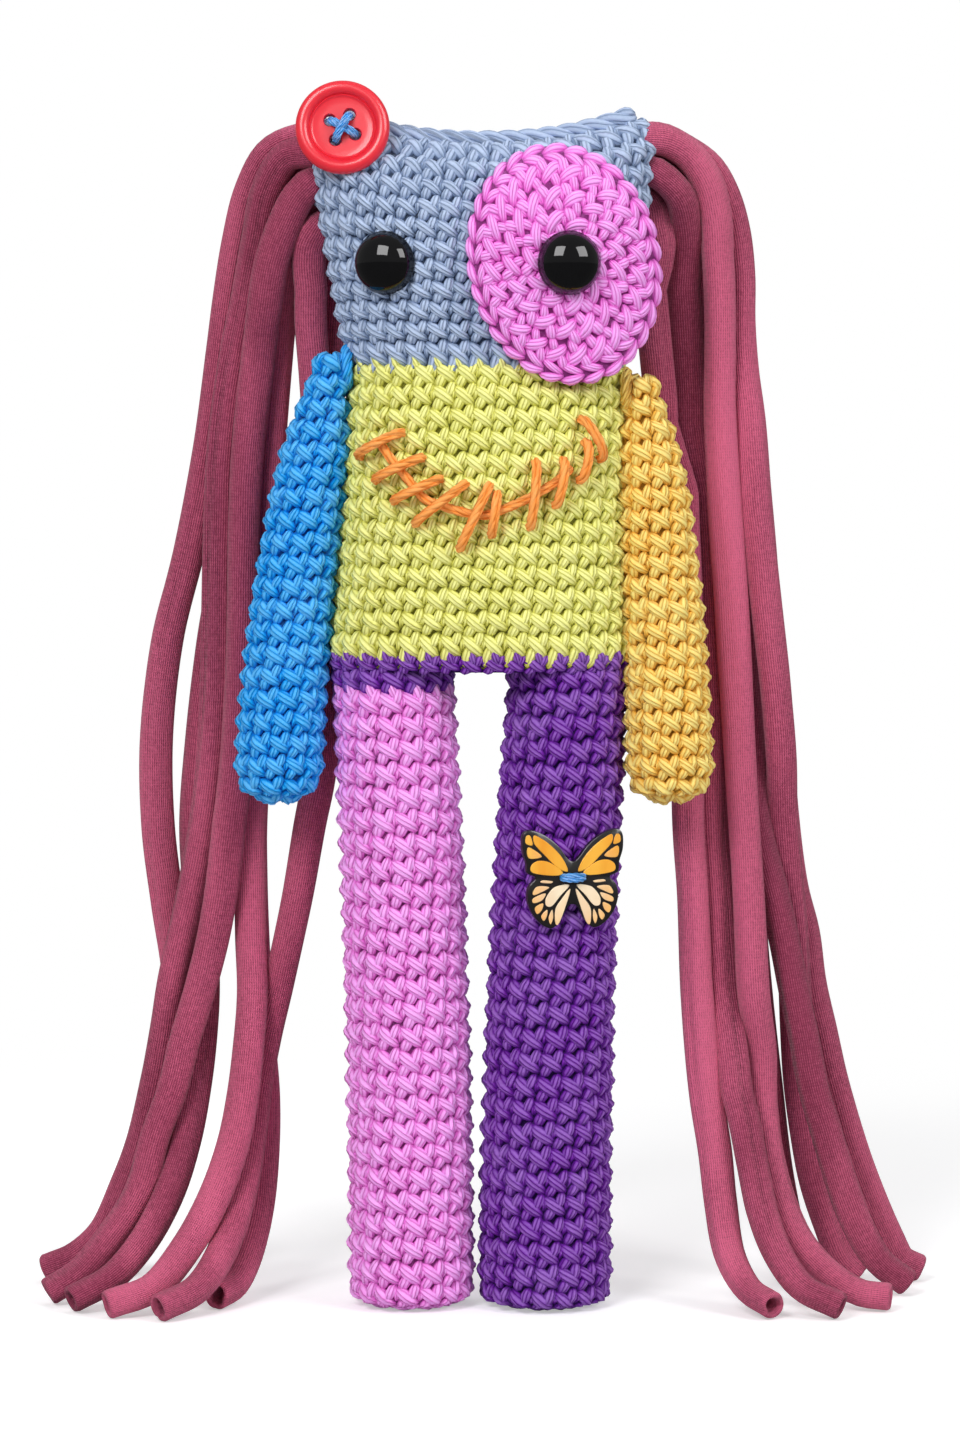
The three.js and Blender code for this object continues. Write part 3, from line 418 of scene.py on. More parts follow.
def lobes_mesh(name, lobes):
    """One stitch lying flat, in millimetres, with each point's place across and along its lobe and a painted
    light level from its height, low for painted shade in the hollows and high for painted highlight on top.
    """
    points, faces, ply = [], [], []
    for number, ((x0, y0), (x1, y1), width, height, steps, across) in enumerate(lobes):
        p, q = np.array([x0 * PITCH, y0 * ROW]), np.array([x1 * PITCH, y1 * ROW])
        side = np.array([p[1] - q[1], q[0] - p[0]]) / np.linalg.norm(q - p)
        base = len(points)
        for i in range(steps + 1):
            s = i / steps
            bulge = math.sin(math.pi * mix(*LOBE_SPAN, s ** 0.9))
            swell, arch = bulge ** 0.45, bulge ** 0.75
            for j in range(across + 1):
                turn = mix(1, -1, j / across) * math.pi / 2
                place = mix(p, q, s) + side * width * PITCH / 2 * swell * math.sin(turn)
                rise = height * arch * math.cos(turn)
                points.append((*place, rise - LOBE_SINK))
                # The last part is the painted light level: painted shade in the hollows, painted highlight on
                # the top
                ply.append((j / across, s + number * 0.37, (rise - HOLLOW_HEIGHT) / HOLLOW_TO_TOP))
        for i in range(steps):
            for j in range(across):
                k = base + i * (across + 1) + j
                faces.append((k, k + across + 1, k + across + 2, k + 1))
    mesh = bpy.data.meshes.new(name)
    mesh.from_pydata(points, [], faces)
    mesh.attributes.new("ply", "FLOAT_VECTOR", "POINT").data.foreach_set("vector", np.ravel(ply))
    return mesh


def stitch_nodes():
    """Geometry nodes that lay a stitch on every point, a little differently each time."""
    tree = bpy.data.node_groups.new("crochet", "GeometryNodeTree")
    face = tree.interface
    face.new_socket("Geometry", in_out="INPUT", socket_type="NodeSocketGeometry")
    face.new_socket("Stitch", in_out="INPUT", socket_type="NodeSocketObject")
    face.new_socket("Unevenness", in_out="INPUT", socket_type="NodeSocketFloat")
    face.new_socket("Seed", in_out="INPUT", socket_type="NodeSocketInt")
    face.new_socket("Yarn", in_out="INPUT", socket_type="NodeSocketMaterial")
    face.new_socket("Geometry", in_out="OUTPUT", socket_type="NodeSocketGeometry")
    given = tree.nodes.new("NodeGroupInput")
    done = tree.nodes.new("NodeGroupOutput")

    def node(kind, values=(), **settings):
        made = tree.nodes.new(kind)
        for key, value in settings.items():
            setattr(made, key, value)
        for key, value in dict(values).items():
            if isinstance(value, bpy.types.NodeSocket):
                tree.links.new(value, made.inputs[key])
            else:
                made.inputs[key].default_value = value
        return made

    def randomly(salt, low, high):
        seed = node("ShaderNodeMath", {0: given.outputs["Seed"], 1: salt}, operation="ADD").outputs[0]
        found = node("FunctionNodeRandomValue", {"Seed": seed}, data_type="FLOAT")
        found.inputs[2].default_value, found.inputs[3].default_value = low, high
        return found.outputs[1]

    uneven = given.outputs["Unevenness"]
    turn = node("ShaderNodeMath", {0: randomly(1.0, -1, 1), 1: uneven}, operation="MULTIPLY").outputs[0]
    tilt = node("ShaderNodeCombineXYZ", {"Z": turn}).outputs[0]
    grow = node("ShaderNodeMath", {0: randomly(2.0, -1, 1), 1: uneven}, operation="MULTIPLY").outputs[0]
    size = node("ShaderNodeMath", {0: grow, 1: 1.0}, operation="ADD").outputs[0]
    shape = node("GeometryNodeObjectInfo", {"Object": given.outputs["Stitch"]})
    laid = node(
        "GeometryNodeInstanceOnPoints",
        {
            "Points": given.outputs["Geometry"],
            "Instance": shape.outputs["Geometry"],
            "Rotation": tilt,
            "Scale": size,
        },
    )
    toned = node(
        "GeometryNodeStoreNamedAttribute",
        {"Geometry": laid.outputs[0], "Name": "tone", "Value": randomly(3.0, 0, 1)},
        data_type="FLOAT",
        domain="INSTANCE",
    )
    real = node("GeometryNodeRealizeInstances", {"Geometry": toned.outputs[0]}).outputs[0]
    dyed = node("GeometryNodeSetMaterial", {"Geometry": real, "Material": given.outputs["Yarn"]})
    tree.links.new(dyed.outputs[0], done.inputs[0])
    return tree


def modify(obj, tree, **values):
    """Runs a node tree on an object's mesh and keeps the result."""
    modifier = obj.modifiers.new("nodes", "NODES")
    modifier.node_group = tree
    for socket in tree.interface.items_tree:
        if socket.item_type == "SOCKET" and socket.in_out == "INPUT" and socket.name in values:
            modifier[socket.identifier] = values[socket.name]
    graph = bpy.context.evaluated_depsgraph_get()
    mesh = bpy.data.meshes.new_from_object(obj.evaluated_get(graph), depsgraph=graph)
    obj.modifiers.remove(modifier)
    return mesh


def column(mesh, name, width):
    data = mesh.attributes[name].data
    values = np.zeros(len(data) * width, np.float32)
    data.foreach_get("vector" if width == 3 else "value", values)
    return values.reshape(-1, width) if width > 1 else values


def coordinates(mesh):
    values = np.zeros(len(mesh.vertices) * 3, np.float32)
    mesh.vertices.foreach_get("co", values)
    return values.reshape(-1, 3).astype(float)


def grid_faces(rows, columns, base=0):
    """Faces between rings of equal count."""
    i, j = np.meshgrid(np.arange(rows - 1), np.arange(columns), indexing="ij")
    k = (j + 1) % columns
    quads = np.stack([i * columns + j, i * columns + k, (i + 1) * columns + k, (i + 1) * columns + j], -1)
    return (quads.reshape(-1, 4) + base).tolist()


def capped_faces(rows, columns, base=0):
    """Faces between rings of equal count, and a cap on each end."""
    last = base + (rows - 1) * columns
    caps = [[base + j for j in range(columns)][::-1], [last + j for j in range(columns)]]
    return grid_faces(rows, columns, base) + caps


def framed(points):
    """Places in the frame, in metres, of points in millimetres about the doll's own middle."""
    return (np.asarray(points, float) + [SIDE_OFFSET, DEPTH_OFFSET, 0]) * MM


def new_object(name, points, faces, materials, body=None, ply=None, tone=None, slots=None):
    """A mesh object from points in millimetres about the doll's own middle."""
    mesh = bpy.data.meshes.new(name)
    mesh.from_pydata(framed(points).tolist(), [], faces)
    if ply is not None:
        mesh.attributes.new("ply", "FLOAT_VECTOR", "POINT").data.foreach_set("vector", np.ravel(ply))
    if tone is not None:
        mesh.attributes.new("tone", "FLOAT", "POINT").data.foreach_set("value", np.ravel(tone))
    for material in materials:
        mesh.materials.append(material)
    if slots is not None:
        mesh.polygons.foreach_set("material_index", np.asarray(slots, np.int32))
    mesh.polygons.foreach_set("use_smooth", [True] * len(mesh.polygons))
    mesh.update()
    obj = bpy.data.objects.new(name, mesh)
    bpy.context.scene.collection.objects.link(obj)
    if body:
        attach(obj, body)
    return obj


class Shade:
    """A value in a material's node tree, which takes part in sums."""

    def __init__(self, graph, socket):
        self.graph, self.socket = graph, socket

    def _with(self, other, operation, swap=False):
        values = [other, self] if swap else [self, other]
        return self.graph.math(operation, *values)

    def __add__(self, other):
        return self._with(other, "ADD")

    def __radd__(self, other):
        return self._with(other, "ADD")

    def __sub__(self, other):
        return self._with(other, "SUBTRACT")

    def __rsub__(self, other):
        return self._with(other, "SUBTRACT", True)

    def __mul__(self, other):
        return self._with(other, "MULTIPLY")

    def __rmul__(self, other):
        return self._with(other, "MULTIPLY")

    def __pow__(self, other):
        return self._with(other, "POWER")

    def sin(self):
        return self.graph.math("SINE", self)

    def abs(self):
        return self.graph.math("ABSOLUTE", self)

    def clamp(self, low=0.0, high=1.0):
        return self.graph.math("MINIMUM", self.graph.math("MAXIMUM", self, low), high)

    def smooth(self, low, high):
        values = {"Value": self, "From Min": low, "From Max": high}
        return self.graph.node("ShaderNodeMapRange", values, interpolation_type="SMOOTHSTEP")[0]


class Graph:
    """A material or a world, and the nodes in it."""

    def __init__(self, owner):
        self.owner = owner
        owner.use_nodes = True
        self.tree = owner.node_tree
        self.tree.nodes.clear()

    def node(self, kind, values=(), **settings):
        made = self.tree.nodes.new(kind)
        for key, value in settings.items():
            setattr(made, key, value)
        for key, value in dict(values).items():
            if isinstance(value, Shade):
                self.tree.links.new(value.socket, made.inputs[key])
            else:
                made.inputs[key].default_value = value
        return [Shade(self, socket) for socket in made.outputs]

    def math(self, operation, *values):
        return self.node("ShaderNodeMath", dict(enumerate(values)), operation=operation)[0]

    def attribute(self, name):
        found = self.node("ShaderNodeAttribute", attribute_name=name)
        return found[1], found[2]

    def split(self, vector):
        return self.node("ShaderNodeSeparateXYZ", {0: vector})

    def place(self):
        return self.node("ShaderNodeTexCoord")[3]

    def noise(self, scale, detail=2.0, stretch=(1, 1, 1)):
        spot = self.node("ShaderNodeVectorMath", {0: self.place(), 1: stretch}, operation="MULTIPLY")[0]
        return self.node("ShaderNodeTexNoise", {"Vector": spot, "Scale": scale, "Detail": detail})[0]

    def mix(self, share, low, high):
        low, high = [(*c, 1) if isinstance(c, tuple) else c for c in (low, high)]
        made = self.tree.nodes.new("ShaderNodeMix")
        made.data_type = "RGBA"
        for index, value in ((0, share), (6, low), (7, high)):
            if isinstance(value, Shade):
                self.tree.links.new(value.socket, made.inputs[index])
            else:
                made.inputs[index].default_value = value
        return Shade(self, made.outputs[2])

    def bump(self, height, distance, strength=1.0):
        return self.node("ShaderNodeBump", {"Height": height, "Distance": distance, "Strength": strength})[0]

    def rays(self):
        """Whether a ray comes straight from the camera, off something glossy or through something clear."""
        found = self.node("ShaderNodeLightPath")
        return found[0], found[3], found[6]

    def glow(self, strength):
        return self.node("ShaderNodeEmission", {"Color": (*WHITE, 1), "Strength": strength})[0]

    def surface(self, **values):
        names = {key.replace("_", " "): value for key, value in values.items()}
        shader = self.node("ShaderNodeBsdfPrincipled", names)[0]
        self.node("ShaderNodeOutputMaterial", {"Surface": shader})
        return self.owner


def rgb(*screen):
    """Red, green and blue as a screen shows them, from 0 to 255, as light."""
    shares = [value / 255 for value in screen]
    return tuple(c / 12.92 if c <= 0.04045 else ((c + 0.055) / 1.055) ** 2.4 for c in shares)


def yarn(name, deep, body, highlight_and_fleck, plies=5.0, slant=0.8):
    """Plied cotton yarn: fine lines run along each lobe, with painted shade in the deep colour in the hollows
    between lobes and in the grooves between plies, and painted highlight on the lobes' tops.
    """
    g = Graph(bpy.data.materials.new(name))
    across, length, rise = g.split(g.attribute("ply")[0])
    tone = g.attribute("tone")[1]
    lines = ((across * plies + length * slant + tone * 3.7) * math.pi).sin().abs()
    fibre = g.noise(1500, 2)
    patchy = g.noise(60, 2)
    # Painted shade of the lobes' sides: a darker, stronger copy of the colour
    flank_shade = tuple(c ** 1.5 * 0.85 for c in body)
    # Painted shade in the hollows, from the deep colour up to the sides' shade, then the full colour higher
    # up
    colour = g.mix(rise.smooth(0.0, 0.5), deep, flank_shade)
    colour = g.mix(rise.smooth(0.25, 0.85), colour, body)
    # Painted shade in the grooves between the plies
    colour = g.mix(lines.smooth(0.0, 0.5) * 0.55 + 0.45, flank_shade, colour)
    # Painted highlight on the lobes' tops along the plies, with paler flecks from fibre grain, patches and
    # each stitch's tone, all drawn towards the lighter colour
    shade = rise.smooth(0.55, 1.1) * lines * 0.9 + (fibre - 0.5) * 0.5
    shade = shade + (patchy - 0.5) * 0.4 + (tone - 0.5) * 0.3
    colour = g.mix(shade.clamp(), colour, highlight_and_fleck)
    height = lines ** 0.6 * 0.8 + fibre * 0.2
    return g.surface(
        Base_Color=colour,
        Roughness=0.8,
        Normal=g.bump(height, 0.0005, 0.8),
        Sheen_Weight=0.02,
        Sheen_Roughness=0.5,
        Specular_IOR_Level=0.12,
    )


def jersey(name, deep, body, highlight_and_fleck):
    """Rolled knit strip: fine ribs along the strand and soft creases, painted as lighter ridges and darker
    grooves and streaks, with painted shade in the deep colour in its creases and inside its rolled end.
    """
    g = Graph(bpy.data.materials.new(name))
    around, length, rise = g.split(g.attribute("ply")[0])
    tone = g.attribute("tone")[1]
    wander = g.noise(40, 2)
    ribs = ((around * 22 + wander * 2.0) * TURN).sin() * 0.5 + 0.5
    loops = ((length * 1.35 + ribs * 0.5) * TURN).sin() * 0.5 + 0.5
    crease = g.noise(55, 2, (1, 1, 0.12)).smooth(0.35, 0.75)
    fibre = g.noise(1150, 3)
    # Lighter and darker by painted light on the ribs, loops and soft creases, with fibre grain and each
    # strand's tone
    shade = (ribs * 0.32 + loops * 0.14 + crease * 0.28 + fibre * 0.5 - 0.08 + (tone - 0.5) * 0.30).clamp()
    # Painted shade in the deep colour in the creases and inside the rolled end, and painted highlight in the
    # lighter colour
    colour = g.mix(shade.smooth(0.15, 0.85), g.mix(rise.clamp(), deep, body), highlight_and_fleck)
    height = ribs * 0.45 + loops * 0.2 + fibre * 0.7
    return g.surface(
        Base_Color=colour,
        Roughness=0.9,
        Normal=g.bump(height, 0.0004, 0.8),
        Sheen_Weight=0.12,
        Sheen_Roughness=0.4,
        IOR=1.3,
    )


def flat_stitches(name, seats, material, unevenness, seed, shape, lobes):
    """Stitches laid flat, one on each seat: its number in the round, the round, and the round's count."""
    stitch = bpy.data.objects.get(shape) or bpy.data.objects.new(shape, lobes_mesh(shape, lobes))
    tree = bpy.data.node_groups.get("crochet") or stitch_nodes()
    mesh = bpy.data.meshes.new(name + "_rounds")
    mesh.from_pydata([(i * PITCH, v * ROW, 0) for i, v, _ in seats], [], [])
    seat = mesh.attributes.new("seat", "FLOAT_VECTOR", "POINT")
    seat.data.foreach_set("vector", np.ravel(seats).astype(float))
    points = bpy.data.objects.new(name + "_rounds", mesh)
    bpy.context.scene.collection.objects.link(points)
    laid = modify(points, tree, Stitch=stitch, Unevenness=unevenness, Seed=seed, Yarn=material)
    bpy.data.objects.remove(points)
    return laid


def cover_object(
    name, skin, rounds, materials, unevenness, seed, drift=DRIFT, scallop=0.0, tips=0.0, lift=0.0,
    swap=None, sole=0.0, shape="stitch", lobes=STITCH_LOBES, shell=True,
):
    """A crocheted cover: a closed shell, painted in the deepest shade, with a stitch on it for every stitch
    of every round.

    Rounds past swap are in the second material, and what lies below sole is pressed flat on the floor.
    The tips of the first round hang down over what comes before it.
    """
    seats = [(i, v, skin.stitches(v)) for v in rounds for i in range(skin.stitches(v))]
    laid = flat_stitches(name, seats, materials[0], unevenness, seed, shape, lobes)
    seat = column(laid, "seat", 3).astype(float)
    local = coordinates(laid) - np.stack([seat[:, 0] * PITCH, seat[:, 1] * ROW, np.zeros(len(seat))], 1)
    first = seat[:, 1] == rounds[0]
    hanging = np.where(first, np.clip(-local[:, 1] / ROW - TIP_START, 0, 1), 0)
    u = 0.5 + (seat[:, 0] - seat[:, 2] // 2 + drift * seat[:, 1] + local[:, 0] / PITCH) / seat[:, 2]
    v = seat[:, 1] + local[:, 1] / ROW - tips * hanging
    gap = rounds[1] - rounds[0] if len(rounds) > 1 else 1.0

    def swell(at):
        return scallop * np.sin(np.pi * (at - rounds[0]) / gap) ** 2

    points = skin.place(u, v, local[:, 2] + swell(v) + lift + min(tips, 1) * hanging)
    faces = [list(face.vertices) for face in laid.polygons]
    under, level = np.empty((0, 3)), np.empty(0)
    if shell:
        rows = SHELL_ROWS * max(2, round(skin.end - skin.start)) + 1
        level = np.repeat(np.linspace(skin.start, skin.end, rows), SHELL_COLUMNS)
        share = np.tile(np.arange(SHELL_COLUMNS) / SHELL_COLUMNS, rows)
        under = skin.place(share, level, 0.5 * swell(level) + lift - SHELL_DEPTH)
        faces += capped_faces(rows, SHELL_COLUMNS, len(points))
    # The shell takes the deepest painted shade
    ply = np.vstack([column(laid, "ply", 3), np.tile(SHELL_PLY_AND_SHADE, (len(under), 1))])
    tone = np.concatenate([column(laid, "tone", 1), np.full(len(under), 0.5)])
    levels = np.concatenate([seat[:, 1], level])
    slots = None if swap is None else [int(levels[face[0]] > swap) for face in faces]
    points = np.vstack([points, under])
    if sole:
        height, lowest = points[:, 2], points[:, 2].min()
        pressed = mix(SOLE_GAP, sole, (height - lowest) / (sole - lowest))
        points[:, 2] = np.where(height < sole, pressed, height)
    return new_object(name, points, faces, materials, ply=ply, tone=tone, slots=slots)


def joined(obj, other):
    """One mesh from two objects whose places are in their meshes."""
    both = bmesh.new()
    both.from_mesh(obj.data)
    both.from_mesh(other.data)
    mesh = bpy.data.meshes.new(obj.name)
    both.to_mesh(mesh)
    both.free()
    for material in obj.data.materials:
        mesh.materials.append(material)
    bpy.data.objects.remove(other)
    return mesh


def points_of(name, skin, rounds, materials, unevenness, seed, drift=DRIFT):
    """The points of a round's stitches alone, which show between the tips of the next colour."""
    return cover_object(
        name, skin, rounds, materials, unevenness, seed, drift, shape="spike", lobes=SPIKE_LOBES, shell=False,
    )


def points_at(name, level, material, making):
    """The points of the bag's stitches at one of its levels."""
    skin = Skin(lambda v: bag_ring(level + (v - 1) * ROW), 0, 2)
    return points_of(name, skin, [1], [material], making.unevenness, making.seed + 40)


def finish_cover(obj, body, *nodes, slot):
    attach(obj, body)
    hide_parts(*nodes)


def bag_skin(low, high, rounds, over=0.0, shut=0.0):
    """The bag between two levels; shut draws its last rounds together from front to back."""

    def ring(v):
        pinch = 1 - shut * min(max(v - rounds + SHUT_ROUNDS, 0) / SHUT_ROUNDS, 1) ** 2
        return bag_ring(mix(low, high, v / rounds)) * [1, pinch, 1]

    return Skin(ring, -over, rounds)


def rounded_corner(flat, radius, low, inner_shares):
    """Half an outline, as (radius, height): a flat end, its rounded corner and the foot of the side."""
    return [(flat * share, low) for share in inner_shares] + [
        (flat + radius * math.sin(a), low + radius * (1 - math.cos(a)))
        for a in np.linspace(0, math.pi / 2, CORNER_STEPS)
    ]


def oval(x, y, z, wide, deep):
    """A level ring of a limb, from the middle of its back."""
    angle = math.pi / 2 + np.arange(LIMB_SIDES) / LIMB_SIDES * TURN
    return np.stack([x + wide * np.cos(angle), y + deep * np.sin(angle), np.full(LIMB_SIDES, z)], 1)


def leg_skin(hip_x, foot_x, foot_width):
    """A leg from the middle of its sole up to the pelvis."""
    outline = rounded_corner(foot_width / 2 - SOLE_RADIUS, SOLE_RADIUS, 0.0, (0.06, 0.4, 0.8))
    outline = np.array(outline + [(foot_width / 2, LEG_LENGTH + LEG_TUCK)])
    run = run_along(outline)
    thigh = LEG_LENGTH - HIP_WIDTH * THIGH_SHARE

    def ring(v):
        at = v * LEG_ROW
        z = float(np.interp(at, run, outline[:, 1]))
        less = foot_width / 2 - float(np.interp(at, run, outline[:, 0]))
        x = mix(foot_x, hip_x, (z / LEG_LENGTH) ** 2)
        wide = mix(foot_width, HIP_WIDTH, z / LEG_LENGTH) / 2 - less
        deep = mix(foot_width, HIP_WIDTH, min(z / thigh, 1)) / 2 - less
        return oval(x, LEG_Y, z, wide, deep)

    return Skin(ring, 0, run[-1] / LEG_ROW, pitch=LEG_PITCH)


def arm_skin(shoulder_x, hand_x, length):
    """An arm from the middle of its hand up to the flattened end that is sewn on."""
    shoulder_z = HAND_Z + length - ARM_TOP_WIDTH / 2
    reach = shoulder_z - HAND_Z
    wide = ARM_WIDTH / 2
    outline = rounded_corner(wide - HAND_RADIUS, HAND_RADIUS, HAND_Z, (0.1, 0.6))
    outline = np.array(outline + [(wide, shoulder_z + ARM_TOP_WIDTH / 2)])
    run = run_along(outline)

    def ring(v):
        at = v * ROW
        z = float(np.interp(at, run, outline[:, 1]))
        less = wide - float(np.interp(at, run, outline[:, 0]))
        t = min(max((shoulder_z - z) / reach, 0), 1)
        x = mix(shoulder_x, hand_x, 1 - (1 - t) ** ARM_BEND_POWER) - math.copysign(ARM_LEAN, shoulder_x)
        half = wide * float(along(ARM_SHARES, 1, t)) - less
        deep = max(half, mix(ARM_TOP_DEPTH / 2, half, min(t / ARM_FLAT_SHARE, 1)))
        top = max(z - shoulder_z, 0) / (ARM_TOP_WIDTH / 2)
        narrow = math.sqrt(max(1 - top * top, 0.05))
        return oval(x, ARM_Y, z, half * narrow, deep * narrow ** 0.5)

    return Skin(ring, 0, run[-1] / ROW)


def patch_skin():
    """The eye patch from its middle to its edge and round to its back."""
    tilt = math.radians(PATCH_TILT)
    rounds = (PATCH_WIDTH + PATCH_HEIGHT) / 4 / ROW

    def ring(v):
        out = min(v / rounds, 1)
        over = max(v / rounds - 1, 0) / PATCH_EDGE_SHARE
        angle = np.arange(PATCH_SIDES) / PATCH_SIDES * TURN
        radius = max(out, 0.02)
        a, b = radius * PATCH_WIDTH / 2 * np.cos(angle), radius * PATCH_HEIGHT / 2 * np.sin(angle)
        x = PATCH_X + a * math.cos(tilt) - b * math.sin(tilt)
        z = PATCH_Z + a * math.sin(tilt) + b * math.cos(tilt)
        fall = max(out - 1 + PATCH_EDGE_SHARE, 0) / PATCH_EDGE_SHARE
        thick = PATCH_THICKNESS * mix(PATCH_RIM_SHARE, 1, math.sqrt(max(1 - fall ** 2, 0))) * (1 - over)
        y = bag_front(x, z, PATCH_OVERHANG) - 2 * CLEAR - thick
        return np.stack([x, y, z], 1)

    skin = Skin(ring, 0, rounds * PATCH_REACH_SHARE, columns=240)
    if skin.normals[10:60, :, 1].mean() > 0:
        skin.normals = -skin.normals
    return skin


LEFT_STRANDS = {
    "a": [
        (-40, 8.7, 293.5), (-45, 9.3, 293.2), (-52, 10.5, 290.3), (-57.5, 13.5, 281), (-60.9, 16.9, 268.5),
        (-63.6, 20.3, 253.5), (-65.4, 22.6, 241), (-68.9, 22.6, 216), (-74, 23.5, 190.5),
        (-79.8, 23.5, 167.5), (-82.8, 23.5, 142), (-82.5, 23.5, 119.5), (-80.2, 25.5, 99), (-77.8, 28, 80),
        (-78, 31, 60), (-80, 34, 40), (-84, 37, 22), (-90, 41, 9), (-98, 45, 3.9),
    ],
    "b": [
        (-41.8, 0.8, 289.4), (-47.8, 2.6, 288.6), (-52.8, 5.4, 281.2), (-55.8, 9.3, 268.3),
        (-58.8, 13.7, 253.3), (-61.6, 15.6, 240.5), (-64.8, 15.5, 218), (-66, 16, 196), (-66.5, 16, 173),
        (-67, 16, 150), (-69.2, 17, 125.8), (-73.3, 16.8, 103), (-78.2, 15.6, 82), (-80.6, 18, 68),
        (-83.5, 21, 53), (-87, 24.5, 38), (-91, 27, 27), (-97, 28.5, 14), (-104.5, 30, 7),
        (-111.3, 31.5, 3.9),
    ],
    "c": [
        (-39.5, 9.5, 277.8), (-43.3, 9.9, 275.6), (-46.2, 11.6, 269.2), (-49, 15, 259), (-50.6, 17.5, 248),
        (-51.6, 18.8, 238), (-53.2, 19.3, 218), (-54.2, 19.3, 200), (-56.2, 19.3, 173), (-57.9, 19.3, 150),
        (-59, 19.3, 123), (-58.5, 17.5, 103), (-58.3, 15.5, 91), (-57.8, 12.5, 78), (-58.5, 9.3, 66),
        (-59.9, 6, 53), (-62.2, 2, 41), (-66.6, -2.6, 28.6), (-73.3, -8.3, 16.6), (-81.8, -14, 7),
        (-91.5, -18, 3.9),
    ],
    "d": [
        (-41, 4, 270.4), (-42.7, 5, 267.5), (-43.9, 6.5, 263), (-44.7, 10, 250), (-44, 11.6, 238),
        (-42.4, 11.6, 216), (-41.5, 11.6, 198), (-40.2, 11.6, 178), (-39.4, 11.6, 158), (-39.6, 11.6, 143),
        (-41.2, 11.6, 130.7), (-43.2, 11.8, 120.7), (-46.3, 13, 103), (-48.9, 15, 90.7), (-51.8, 17.3, 78),
        (-54.8, 17.3, 65.7), (-57.2, 15, 53), (-58.5, 11, 41), (-60.5, 4.5, 28), (-64.3, -6, 15.6),
        (-70.5, -15, 7), (-78.5, -22, 3.9),
    ],
    "e": [
        (-40, 8.7, 285.8), (-45.5, 10, 284.5), (-50.3, 13.8, 278.2), (-53.2, 17.6, 268.5), (-55.9, 22, 253.5),
        (-57.3, 24, 241), (-60.5, 23.8, 216), (-64, 24, 190), (-68.5, 24.2, 165), (-71.4, 24, 142),
        (-73, 24.2, 120), (-72, 24.4, 100), (-71, 21, 79), (-71.5, 18.5, 66), (-72.8, 15.5, 53),
        (-74.8, 10.7, 40.6), (-78.5, 4, 28), (-85, -1.5, 16), (-92.5, -6.5, 8), (-101, -11, 3.9),
    ],
    "f": [
        (-33.4, 13.8, 271.4), (-36.3, 17.6, 269.6), (-38.9, 19.9, 263.4), (-40, 20.5, 254),
        (-40.8, 20.5, 242), (-42, 20.5, 222), (-46.5, 22.5, 198), (-51, 25, 174), (-55, 27, 150),
        (-58, 27, 128), (-58.6, 27, 105), (-58, 26.5, 84), (-57, 25.5, 66), (-55.6, 23, 50),
        (-55.5, 19, 36), (-56.5, 13.5, 22), (-59, 6.5, 11), (-62, 0, 5.2), (-65.5, -6.5, 3.9),
    ],
    "g": [
        (-42.3, 0.8, 281.6), (-45.2, 1.3, 278.6), (-48.4, 2.3, 272.5), (-52, 4.2, 262.5), (-54, 7, 251),
        (-55.5, 11, 240), (-58.2, 11.6, 218), (-59.6, 11.6, 196), (-60, 11.6, 173), (-60.6, 11.6, 153),
        (-62, 11.6, 133), (-63.6, 11.6, 120.8), (-65.8, 11.6, 103), (-68, 11.6, 90.8), (-71.3, 11.6, 78),
        (-74.8, 10.5, 66), (-78, 8.8, 53.4), (-82.4, 7.3, 41.6), (-86.2, 6, 28), (-94, 4, 16), (-101, 2, 8),
        (-107.8, 0, 3.9),
    ],
}
